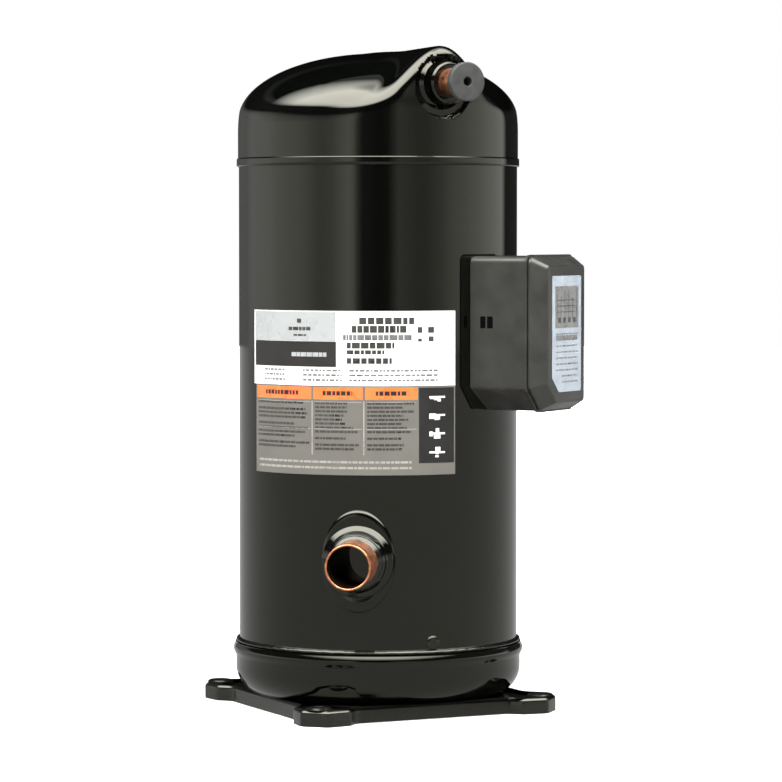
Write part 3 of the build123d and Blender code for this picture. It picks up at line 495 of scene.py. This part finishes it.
def build_cap():
    centre = np.array([0.0, 0.0, CAP_RAYS_FROM])
    fine = np.arange(-52, 52.01, 0.65)
    coarse = np.arange(54, 306, 2.0)
    turns = np.radians(np.concatenate([fine, coarse]) + DISCHARGE_BEARING)
    low = math.degrees(math.atan2(CAP_BOTTOM - CAP_RAYS_FROM, DOME_RADIUS))
    bands = [np.linspace(low, 8, 12), np.linspace(8.8, 46, 58), np.linspace(48, 88.5, 26)]
    rises = np.radians(np.concatenate(bands))
    turn, rise = np.meshgrid(turns, rises, indexing="ij")
    dx, dy, dz = np.cos(rise) * np.sin(turn), -np.cos(rise) * np.cos(turn), np.sin(rise)
    near, far = np.full(turn.shape, 30.0), np.full(turn.shape, 150.0)
    for _ in range(34):
        mid = (near + far) / 2
        out = cap_field(centre[0] + dx * mid, centre[1] + dy * mid, centre[2] + dz * mid) > 0
        far, near = np.where(out, mid, far), np.where(out, near, mid)
    reach = (near + far) / 2
    grid = np.stack([centre[0] + dx * reach, centre[1] + dy * reach, centre[2] + dz * reach], -1) * MM
    rows, cols = turn.shape[1], turn.shape[0]
    verts = grid.reshape(-1, 3).tolist()
    faces = []
    for k in range(cols):
        n = (k + 1) % cols
        for i in range(rows - 1):
            faces.append([k * rows + i, n * rows + i, n * rows + i + 1, k * rows + i + 1])
    apex = len(verts)
    verts.append([0, 0, float(grid[:, -1, 2].mean())])
    faces += [[k * rows + rows - 1, ((k + 1) % cols) * rows + rows - 1, apex] for k in range(cols)]
    piece("upper_cap", verts, faces, PAINT, "shell", "black_paint", ["top_cap"], 42)
    lip = rounded([(0.1098, 0.4245), (0.1112, 0.4248), (0.1112, 0.4308), (0.1098, 0.4314), (0.1085, 0.4314),
                   (0.1085, 0.4245)], [0, 0.0012, 0.0016, 0.0006, 0, 0], 4)
    verts, faces = lathe([tuple(p) for p in lip], 256)
    piece("upper_seam", verts, faces, PAINT, "shell", "black_paint", (), 50)


# ---- tube connections ----------------------------------------------------------------------------------
def build_suction():
    cols = 96
    profile = [(0.60, 2.3), (0.78, 2.7), (0.88, 2.9), (0.93, 2.75), (0.965, 2.3), (0.985, 1.6), (0.995, 0.7),
               (1.0, -0.6)]
    verts, faces = [], []
    turn = math.radians(SUCTION_BEARING)
    for k in range(cols):
        a = 2 * math.pi * k / cols
        for share, proud in profile:
            across, z = 28.5 * share * math.cos(a), 123 + 39.5 * share * math.sin(a)
            b = turn + across / 109.5
            r = 109.5 + proud
            verts.append((r * MM * math.sin(b), -r * MM * math.cos(b), z * MM))
    size = len(profile)
    for k in range(cols):
        n = (k + 1) % cols
        for i in range(size - 1):
            faces.append([k * size + i, k * size + i + 1, n * size + i + 1, n * size + i])
    faces.append([k * size for k in range(cols)])
    piece("suction_pad", verts, faces, PAINT, "shell", "black_paint", (), 40)
    collar = rounded([(17.5, 100), (28.5, 104), (27.5, 113.2), (23.6, 115.6), (22.2, 120.5), (20.9, 122.5),
                      (17.5, 122.8)], [0, 1, 1.5, 1.5, 1.2, 0.8, 0.3], 4)
    verts, faces = lathe([(r * MM, h * MM) for r, h in collar], 96)
    piece("suction_collar", verts, faces, PAINT, "shell", "black_paint", ["suction_fitting"], 50,
          pipe_place(SUCTION_BEARING, 0, 0.123))
    tube = rounded([(17.46, 92), (17.46, 163), (15.86, 163), (15.86, 92)], [0, 0.7, 0.7, 0], 4)
    verts, faces = lathe([(r * MM, h * MM) for r, h in tube], 96)
    stub = piece("suction_stub_tube", verts, faces, COPPER_STUB, "shell", "copper", ["suction_tube"], 40,
                 pipe_place(SUCTION_BEARING, 0, 0.123))
    stub.data.materials.append(COPPER_BORE_SHADE)
    # the bore's inner faces take the painted-shade copy of the copper
    out = Vector((math.sin(turn), -math.cos(turn), 0))
    for face in stub.data.polygons:
        centre = Vector(face.center) - Vector((0, 0, 0.123))
        reach = centre.dot(out)
        if (centre - out * reach).length < 0.0162 and reach < 0.1575:
            face.material_index = 1
    braze = rounded([(17.3, 121.8), (20.6, 122.3), (20.2, 123.6), (18.2, 125.2), (17.3, 126.2)],
                    [0, 0.3, 0.5, 0.8, 0], 3)
    verts, faces = lathe([(r * MM, h * MM) for r, h in braze], 96)
    piece("suction_braze", verts, faces, WELD, "shell", "black_paint", (), 60,
          pipe_place(SUCTION_BEARING, 0, 0.123))


def build_discharge():
    collar = rounded([(11.2, 95), (15.5, 95), (15.5, 102.5), (20.0, 102.6), (20.0, 103.8), (16.9, 106.0),
                      (16.2, 116.6), (14.8, 118.0), (11.2, 118.2)],
                     [0, 0, 0, 0.3, 0.7, 1.2, 0.9, 0.6, 0.2], 4)
    verts, faces = lathe([(r * MM, h * MM) for r, h in collar], 80)
    piece("discharge_collar", verts, faces, PAINT, "shell", "black_paint", ["discharge_fitting"], 50,
          pipe_place(DISCHARGE_BEARING, 0, 0.4865))
    tube = rounded([(11.11, 96), (11.11, 138), (9.86, 138), (9.86, 96)], [0, 0.5, 0.5, 0], 4)
    verts, faces = lathe([(r * MM, h * MM) for r, h in tube], 80)
    piece("discharge_stub_tube", verts, faces, COPPER, "shell", "copper", ["discharge_tube"], 40,
          pipe_place(DISCHARGE_BEARING, 0, 0.4865))


def prism_piece(name, outline, start, end, edge, material, body, slot_name, nodes, bearing):
    """An outline of (across, z) raised outwards from start to end, its front edge rounded."""
    verts, faces = slab(outline, start, end, edge)
    verts = [(v[2], v[0], v[1]) for v in verts]
    return piece(name, verts, faces, material, body, slot_name, nodes, 35, along(bearing))


# ---- labels --------------------------------------------------------------------------------------------
def on_shell(spans, radius, thick):
    """Thin curved tiles on the shell from (bearing, bearing, z, z) spans in degrees and mm."""
    shapes = []
    for b0, b1, z0, z1 in spans:
        count = max(1, int(abs(b1 - b0) / 1.5))
        verts, faces = [], []
        for k in range(count + 1):
            b = math.radians(b0 + (b1 - b0) * k / count)
            for r in (radius, radius + thick):
                for z in (z0, z1):
                    verts.append((r * MM * math.sin(b), -r * MM * math.cos(b), z * MM))
        for k in range(count):
            a, c = k * 4, (k + 1) * 4
            faces += [[a + 2, c + 2, c + 3, a + 3], [a, a + 1, c + 1, c], [a, c, c + 2, a + 2],
                      [a + 1, a + 3, c + 3, c + 1]]
        faces += [[0, 2, 3, 1], [count * 4, count * 4 + 1, count * 4 + 3, count * 4 + 2]]
        shapes.append((verts, faces))
    return merged(shapes)


def build_labels():
    rng = random.Random(SEED)
    base = 109.5
    white = on_shell([(-86, 7, 256.5, 313.5)], base, 0.25)
    piece("rating_plate_film", *white, LABEL_WHITE, "shell", "label_white", ["rating_label"], 20)
    grey = on_shell([(-84.5, 7, 188.6, 256.2)], base, 0.25)
    piece("caution_plate_film", *grey, LABEL_GREY, "shell", "label_grey", ["caution_label"], 20)
    face = base + 0.25

    def words(b0, b1, z0, z1, gap=0.35, low=0.8, high=3.4):
        """A row of word-sized bars that stand for printed lines."""
        spans, b = [], b0
        while b < b1 - 0.3:
            size = min(rng.uniform(low, high), b1 - b)
            spans.append((b, b + size, z0, z1))
            b += size + gap
        return spans

    panel = on_shell([(-85, -42.6, 290.4, 312.8)], face, 0.06)
    piece("rating_panel", *panel, INK_PANEL, "shell", "label_grey", (), 20)
    brown = on_shell([(-85, -42.4, 270.8, 290.2)], face, 0.06)
    piece("rating_band", *brown, INK_BROWN, "shell", "black_paint", (), 20)
    pale = words(-62.5, -46.5, 278.6, 281.8, 0.25, 1.0, 2.6)
    piece("rating_band_marks", *on_shell(pale, face + 0.06, 0.04), INK_PANEL, "shell", "label_white", (), 20)
    marks = words(-64, -53.5, 298.5, 301.2) + words(-61.5, -55.5, 294.2, 295.6)
    marks += [(-59.8, -57.8, 304.2, 307.4)]
    piece("rating_panel_marks", *on_shell(marks, face + 0.06, 0.04), INK_TEXT, "shell", "black_paint", (), 20)
    bold = words(-33, -11, 303.4, 308.6, 0.6, 1.2, 4.2) + words(-36, -14, 297.0, 302.4, 0.35, 0.9, 3.0)
    bold += words(-38, -19, 285.0, 289.6, 0.4, 1.2, 3.6) + words(-38, -23, 280.6, 283.8, 0.4, 1.2, 3.0)
    bold += words(-38, -20, 273.4, 277.8, 0.5, 1.2, 3.6)
    bold += [(-9.6, -7.6, 296.8, 301.4), (-5.2, -2.6, 296.8, 301.4), (-9.4, -7.8, 290.2, 292.6),
             (-5.0, -2.8, 290.2, 294.2)]
    faint = words(-39.5, -12, 291.2, 295.4, 0.25)
    for z in (267.4, 263.8, 260.0):
        faint += words(-78, -66, z, z + 1.6, 0.4, 0.8, 2.0)
        faint += words(-57, -40, z, z + 1.6, 0.5, 0.8, 2.2) + words(-37, -1, z, z + 1.6, 0.5, 0.8, 2.6)
    piece("rating_lines_bold", *on_shell(bold, face, 0.05), INK_TEXT, "shell", "black_paint", (), 20)
    piece("rating_lines_faint", *on_shell(faint, face, 0.05), INK_FADED, "shell", "label_grey", (), 20)

    columns = [(-83.4, -53.2), (-52.2, -31.6), (-30.6, -9.6)]
    orange, reversed_marks, dark, light = [], [], [], []
    for b0, b1 in columns:
        orange.append((b0, b1, 246.2, 255.4))
        middle, half = (b0 + b1) / 2, (b1 - b0) * 0.30
        reversed_marks += words(middle - half, middle + half, 249.2, 252.6, 0.4, 1.0, 2.4)
        z = 242.4
        while z > 206:
            dark += words(b0 + 0.8, b1 - rng.uniform(0.8, 9.0), z, z + 1.7, 0.30, 0.8, 3.2)
            z -= 3.1 if rng.random() < 0.8 else 5.0
        light.append((b0 + 0.4, b1 - 0.4, 243.9, 244.4))
        light.append((b0 + 0.4, b1 - 0.4, 223.4, 223.9))
    for z in (197.6, 193.2):
        light += words(-82, -12, z, z + 1.7, 0.4, 1.0, 3.6)
    light += [(-53.0, -52.5, 204.0, 245.0), (-31.4, -30.9, 204.0, 245.0)]
    piece("caution_bands", *on_shell(orange, face, 0.06), INK_ORANGE, "shell", "label_grey", (), 20)
    marks_shape = on_shell(reversed_marks, face + 0.06, 0.04)
    piece("caution_band_marks", *marks_shape, INK_BROWN, "shell", "black_paint", (), 20)
    piece("caution_lines", *on_shell(dark, face, 0.05), INK_TEXT, "shell", "black_paint", (), 20)
    piece("caution_rules", *on_shell(light, face, 0.05), INK_LIGHT, "shell", "label_white", (), 20)
    black = on_shell([(-9.0, 6.4, 197.6, 255.0)], face, 0.06)
    piece("caution_symbol_strip", *black, INK_BLACK, "shell", "black_paint", (), 20)
    shapes = []
    for z in (248.2, 234.4, 220.4, 206.0):
        for _ in range(3):
            b = -5.6 + rng.uniform(0, 4.6)
            w, h = rng.uniform(1.2, 3.0), rng.uniform(1.4, 4.2)
            low = z + rng.uniform(-4.4, 1.0)
            shapes.append((b, b + w, low, low + h))
        shapes.append((-4.6, 2.2, z - 1.0, z + 0.4))
    symbols = on_shell(shapes, face + 0.06, 0.04)
    piece("caution_symbols", *symbols, LABEL_WHITE, "shell", "label_white", (), 20)


# ---- terminal box --------------------------------------------------------------------------------------
def box_shape(half, low, high, wide, tall):
    """The box seen from the front, anticlockwise, with its lower corner cut."""
    return [(-half + wide, low), (half, low), (half, high), (-half, high), (-half, low + tall)]


def soft_shape(corners, radii, steps=6):
    """An outline in mm with its corners rounded by radii in metres, as (across, z) in metres."""
    return [tuple(point) for point in rounded([(a * MM, b * MM) for a, b in corners], radii, steps)]


def build_box():
    soft = [0.004, 0.005, 0.006, 0.006, 0.004]
    outline = soft_shape(box_shape(41, 236.5, 355, 19, 17.5), soft)
    inner = inset_outline(outline, 0.0024)
    count = len(outline)
    bottom = 0.1098
    verts, faces = [], []

    def ring_at(points, x_of):
        start = len(verts)
        verts.extend([(x_of(y), y, z) for y, z in points])
        return start

    def strip(a, b):
        for i in range(count):
            j = (i + 1) % count
            faces.append([a + i, a + j, b + j, b + i])

    def hug(y):
        """Distance from the axis to the shell's surface, y across."""
        return math.sqrt(bottom**2 - y**2)

    a = ring_at(inner, hug)
    b = ring_at(outline, hug)
    strip(a, b)
    rim = 0.150
    edge = 0.0009
    c = ring_at(outline, lambda y: rim - edge)
    strip(b, c)
    d = ring_at(inset_outline(outline, edge), lambda y: rim)
    strip(c, d)
    e = ring_at(inner, lambda y: rim)
    strip(d, e)
    strip(e, a)
    piece("box_housing", verts, faces, PLASTIC, "shell", "box_plastic", ["terminal_box_body"], 35,
          along(BOX_BEARING))
    # the latch windows are thin near-black patches on the box's side, painted shade in place of real recesses
    latch = []
    for k, (x0, x1) in enumerate([(0.1105, 0.1148), (0.1163, 0.1210)]):
        latch.append([(x0, 0.300), (x1, 0.300), (x1, 0.309), (x0, 0.309)])
    shapes = []
    for corners in latch:
        outline2 = [tuple(p) for p in rounded(corners, 0.0006, 3)]
        shapes.append(slab(outline2, 0.0, 0.0012, 0.0002, 2))
    verts, faces = merged(shapes)
    verts = [(v[0], -0.0411 - v[2] * 0.15, v[1]) for v in verts]
    piece("latch_window_painted_shade", verts, faces, SHADOW, "shell", "box_plastic", (), 40, along(BOX_BEARING))
    verts, faces = [], []
    rows = [(0.1483, 0.0), (0.1483, -0.0010), (0.1497, -0.0012), (0.1500, -0.0006), (0.1500, 0.0012)]
    for x, inset in rows:
        verts += [(x, y, z) for y, z in inset_outline(outline, inset)]
    for r in range(len(rows) - 1):
        for i in range(count):
            j = (i + 1) % count
            faces.append([r * count + i, r * count + j, (r + 1) * count + j, (r + 1) * count + i])
    piece("box_rim_lip", verts, faces, PLASTIC, "shell", "box_plastic", (), 35, along(BOX_BEARING))

    cover = soft_shape(box_shape(40.4, 237.1, 354.4, 19, 17.5), soft)
    front = soft_shape(box_shape(34, 242, 349, 15, 15), [0.003, 0.004, 0.005, 0.005, 0.003])
    verts, faces = [], []
    rows = [(inset_outline(cover, 0.0026), 0.1512), (inset_outline(cover, 0.0004), 0.1504), (cover, 0.1508),
            (cover, 0.1526), (inset_outline(cover, 0.0006), 0.1534), (front, 0.1622),
            (inset_outline(front, 0.0004), 0.1630), (inset_outline(front, 0.0011), 0.1637),
            (inset_outline(front, 0.0020), 0.1640)]
    for pts, x in rows:
        verts += [(x, y, z) for y, z in pts]
    for r in range(len(rows) - 1):
        for i in range(count):
            j = (i + 1) % count
            faces.append([r * count + i, r * count + j, (r + 1) * count + j, (r + 1) * count + i])
    faces.append([(len(rows) - 1) * count + i for i in range(count)])
    faces.append([i for i in range(count)][::-1])
    piece("box_cover_moulding", verts, faces, COVER_PLASTIC, "box_cover", "box_plastic",
          ["terminal_box_cover"], 28, along(BOX_BEARING))

    corners = [(-14, 251), (26, 251), (26, 340), (-26, 340), (-26, 262)]
    film = soft_shape(corners, [0.001, 0.002, 0.002, 0.002, 0.001], 4)
    prism_piece("box_label_film", film, 0.1640, 0.16425, 0.0001, BOX_LABEL, "box_cover", "label_grey",
                ["box_label"], BOX_BEARING)

    def tile(name, tiles, level, material):
        shapes = []
        for y0, y1, z0, z1 in tiles:
            corners = [(y0 * MM, z0 * MM), (y1 * MM, z0 * MM), (y1 * MM, z1 * MM), (y0 * MM, z1 * MM)]
            shapes.append(slab(corners, 0, 0.00005))
        verts, faces = merged(shapes)
        verts = [(level + v[2], v[0], v[1]) for v in verts]
        piece(name, verts, faces, material, "box_cover", "label_grey", (), 20, along(BOX_BEARING))

    rng = random.Random(SEED + 1)
    tile("box_label_diagram", [(-21, 21, 300, 332)], 0.16425, INK_FADED)
    wires = [(-18 + 7 * k, -17.4 + 7 * k, 303 + rng.uniform(0, 6), 322 + rng.uniform(0, 8)) for k in range(6)]
    wires += [(-18, 14, 312 + 4.5 * k, 312.7 + 4.5 * k) for k in range(3)]
    wires += [(-16 + 9 * k, -11 + 9 * k, 304, 308) for k in range(4)]
    tile("box_label_wiring", wires, 0.16430, INK_TEXT)
    rows = []
    z = 296.0
    while z > 256:
        y = -19.0 if z > 264 else -9.0
        while y < 18:
            size = rng.uniform(2, 8)
            rows.append((y, min(y + size, 20), z - 1.1, z))
            y += size + 1.2
        z -= 4.6
    rows.append((-19, 19, 291.0, 294.4))
    tile("box_label_lines", rows, 0.16425, INK_FADED)


# ---- discharge plug ------------------------------------------------------------------------------------
def build_plug():
    high = 144.0
    plug = rounded([(3.5, high - 14), (3.5, high), (14.8, high), (14.8, high - 6), (11.6, high - 6),
                    (11.6, high - 6.2), (9.7, high - 6.2), (9.4, high - 20), (7.6, high - 20),
                    (7.6, high - 14)],
                   [0, 0.5, 1.3, 1.3, 0.3, 0, 0, 0.6, 0.6, 0.3], 4)
    verts, faces = lathe([(r * MM, h * MM) for r, h in plug], 80)
    web = [(0, high - 14.0), (3.6, high - 14.0), (3.6, high - 15.5), (0, high - 15.5)]
    floor_verts, floor_faces = lathe(web, 24)
    floor_verts = [(x * MM, y * MM, z * MM) for x, y, z in floor_verts]
    verts, faces = merged([(verts, faces), (floor_verts, floor_faces)])
    piece("discharge_cap_plug", verts, faces, RUBBER, "discharge_plug", "black_rubber", ["discharge_plug"],
          40, pipe_place(DISCHARGE_BEARING, 0, 0.4865))


build_base()
build_shell()
build_cap()
build_suction()
build_discharge()
build_box()
build_plug()
build_labels()


# ---- studio --------------------------------------------------------------------------------------------
# brightness of the overhead panel, the share taken off the studio for diffuse rays, the floor's own glow, and
# the floor's brightness in reflections
OVERHEAD, DIFFUSE_CUT = 13.0, 0.93
FLOOR_GLOW, FLOOR_REFLECTED = 0.30, 0.62


def build_world():
    """A studio all round: soft light boxes to the left and right, dark flags between, an overhead panel."""
    world = bpy.data.worlds.new("studio")
    bpy.context.scene.world = world
    world.use_nodes = True
    nodes, links = world.node_tree.nodes, world.node_tree.links
    nodes.clear()
    output = nodes.new("ShaderNodeOutputWorld")
    coords = nodes.new("ShaderNodeTexCoord")
    split = nodes.new("ShaderNodeSeparateXYZ")
    links.new(coords.outputs["Generated"], split.inputs["Vector"])

    def maths(kind, first, second=None):
        node = nodes.new("ShaderNodeMath")
        node.operation = kind
        for slot_index, value in enumerate((first, second)):
            if value is None:
                continue
            if isinstance(value, (int, float)):
                node.inputs[slot_index].default_value = value
            else:
                links.new(value, node.inputs[slot_index])
        return node.outputs[0]

    x, y, z = split.outputs["X"], split.outputs["Y"], split.outputs["Z"]
    turn = math.radians(CAMERA_BEARING)
    ahead = maths("ADD", maths("MULTIPLY", x, math.sin(turn)), maths("MULTIPLY", y, -math.cos(turn)))
    right = maths("ADD", maths("MULTIPLY", x, math.cos(turn)), maths("MULTIPLY", y, math.sin(turn)))
    angle = maths("ARCTAN2", right, ahead)
    place = maths("ADD", maths("MULTIPLY", angle, 0.5 / math.pi), 0.5)
    # (degrees round from the camera's direction, brightness), fitted to the bright and dark bands that the
    # photograph shows along the shell
    table = [(-180, .02), (-156, .2), (-138, .40), (-126, .80), (-107, 1.18), (-100, 1.33), (-72, 1.24),
             (-62, 1.1), (-50, .72), (-44, .73), (-38, .85), (-33, 1.1), (-24, 1.48), (-20, 1.25), (-17, .5),
             (-13, .1), (0, .03), (8, .05), (12, .25), (17, .56), (31, .40), (40, .38), (53, .62), (64, 1.0),
             (83, 1.3), (100, 1.5), (113, 1.43), (123, 1.34), (130, .06), (180, .02)]
    top = 1.6
    ramp = colour_ramp(nodes, [((a + 180) / 360, (v / top,) * 3) for a, v in table])
    links.new(place, ramp.inputs["Fac"])
    rise = nodes.new("ShaderNodeMapRange")
    rise.inputs["From Min"].default_value = -1
    rise.inputs["From Max"].default_value = 1
    links.new(z, rise.inputs["Value"])
    # (degrees above the horizon, brightness)
    level = [(-90, .25), (-30, .3), (-8, .85), (0, 1.0), (6, 1.0), (9, .6), (12, .05), (28, .05), (33, .6),
             (40, 1.0), (90, 1.0)]
    band = colour_ramp(nodes, [((math.sin(math.radians(a)) + 1) / 2, (v,) * 3) for a, v in level])
    links.new(rise.outputs["Result"], band.inputs["Fac"])
    over = colour_ramp(nodes, [((math.sin(math.radians(a)) + 1) / 2, (v,) * 3) for a, v in
                               [(-90, 0), (28, 0), (36, .8), (44, 1), (78, 1), (90, .35)]])
    links.new(rise.outputs["Result"], over.inputs["Fac"])
    walls = maths("MULTIPLY", maths("MULTIPLY", ramp.outputs["Color"], band.outputs["Color"]), top)
    hemisphere = nodes.new("ShaderNodeMapRange")
    hemisphere.inputs["From Min"].default_value = -0.35
    hemisphere.inputs["From Max"].default_value = 0.10
    links.new(ahead, hemisphere.inputs["Value"])
    sky = maths("MULTIPLY", over.outputs["Color"], maths("MULTIPLY", hemisphere.outputs["Result"], OVERHEAD))
    upper = nodes.new("ShaderNodeMapRange")
    upper.inputs["From Min"].default_value = 0.45
    upper.inputs["From Max"].default_value = 0.60
    upper.inputs["To Min"].default_value = 1
    upper.inputs["To Max"].default_value = 0.0
    links.new(z, upper.inputs["Value"])
    strength = maths("ADD", maths("MULTIPLY", walls, upper.outputs["Result"]), sky)
    path = nodes.new("ShaderNodeLightPath")
    softer = maths("SUBTRACT", 1.0, maths("MULTIPLY", path.outputs["Is Diffuse Ray"], DIFFUSE_CUT))
    strength = maths("MULTIPLY", strength, softer)
    light = nodes.new("ShaderNodeBackground")
    light.inputs["Color"].default_value = (1, 1, 0.985, 1)
    links.new(strength, light.inputs["Strength"])
    paper = nodes.new("ShaderNodeBackground")
    paper.inputs["Color"].default_value = (1, 1, 1, 1)
    paper.inputs["Strength"].default_value = 1.0
    mix = nodes.new("ShaderNodeMixShader")
    links.new(path.outputs["Is Camera Ray"], mix.inputs["Fac"])
    links.new(light.outputs["Background"], mix.inputs[1])
    links.new(paper.outputs["Background"], mix.inputs[2])
    links.new(mix.outputs["Shader"], output.inputs["Surface"])


build_world()


def build_floor():
    """A pale floor that glows a little and looks darker in reflections."""
    mat, nodes, links, shader = new_material("studio_floor")
    coords = nodes.new("ShaderNodeTexCoord")
    clouds = noise(nodes, links, coords, 3.0, 2.0)
    ramp = colour_ramp(nodes, [(0.3, (0.92, 0.92, 0.92)), (0.7, (0.94, 0.94, 0.94))])
    links.new(clouds.outputs["Fac"], ramp.inputs["Fac"])
    links.new(ramp.outputs["Color"], shader.inputs["Base Color"])
    shader.inputs["Roughness"].default_value = 0.9
    shader.inputs["Specular IOR Level"].default_value = 0.1
    shader.inputs["Emission Color"].default_value = (1, 1, 1, 1)
    shader.inputs["Emission Strength"].default_value = FLOOR_GLOW
    dim = nodes.new("ShaderNodeEmission")
    dim.inputs["Color"].default_value = (1, 1, 0.985, 1)
    dim.inputs["Strength"].default_value = FLOOR_REFLECTED
    path = nodes.new("ShaderNodeLightPath")
    mix = nodes.new("ShaderNodeMixShader")
    links.new(path.outputs["Is Glossy Ray"], mix.inputs["Fac"])
    links.new(shader.outputs["BSDF"], mix.inputs[1])
    links.new(dim.outputs["Emission"], mix.inputs[2])
    links.new(mix.outputs["Shader"], nodes["Material Output"].inputs["Surface"])
    mesh = bpy.data.meshes.new("studio_floor")
    ring = circle(9.0, 128)
    mesh.from_pydata([(x, y, -0.0004) for x, y in ring], [], [list(range(len(ring)))])
    mesh.materials.append(mat)
    floor = bpy.data.objects.new("studio_floor", mesh)
    bpy.context.scene.collection.objects.link(floor)


build_floor()


def build_lights():
    """One weak soft lamp overhead, with no highlight of its own."""
    lamp = bpy.data.lights.new("overhead_softbox", "AREA")
    lamp.shape = "RECTANGLE"
    lamp.size, lamp.size_y = 2.2, 2.2
    lamp.energy = 5
    lamp.specular_factor = 0.0
    lamp_object = bpy.data.objects.new("overhead_softbox", lamp)
    lamp_object.location = (0.2, -0.2, 2.4)
    bpy.context.scene.collection.objects.link(lamp_object)


build_lights()


def build_camera():
    """The photograph's camera, panned and tilted to frame the part as it does."""
    camera = bpy.data.cameras.new("camera")
    camera.sensor_width = 36.0
    camera.lens = 165.7
    camera.clip_end = 60
    camera_object = bpy.data.objects.new("camera", camera)
    turn = math.radians(CAMERA_BEARING)
    distance, height = 2.84, 0.3735
    place = Vector((distance * math.sin(turn), -distance * math.cos(turn), height))
    to_axis = Vector((-math.sin(turn), math.cos(turn), 0))
    right = Vector((math.cos(turn), math.sin(turn), 0))
    pan = 13.0 / 3600.0
    drop = math.tan(math.radians(2.53))
    look = to_axis + right * pan + Vector((0, 0, -drop))
    camera_object.location = place
    camera_object.rotation_euler = look.to_track_quat("-Z", "Y").to_euler()
    bpy.context.scene.collection.objects.link(camera_object)
    bpy.context.scene.camera = camera_object


build_camera()
scene = bpy.context.scene
scene.view_settings.view_transform = "Standard"
scene.view_settings.look = "None"
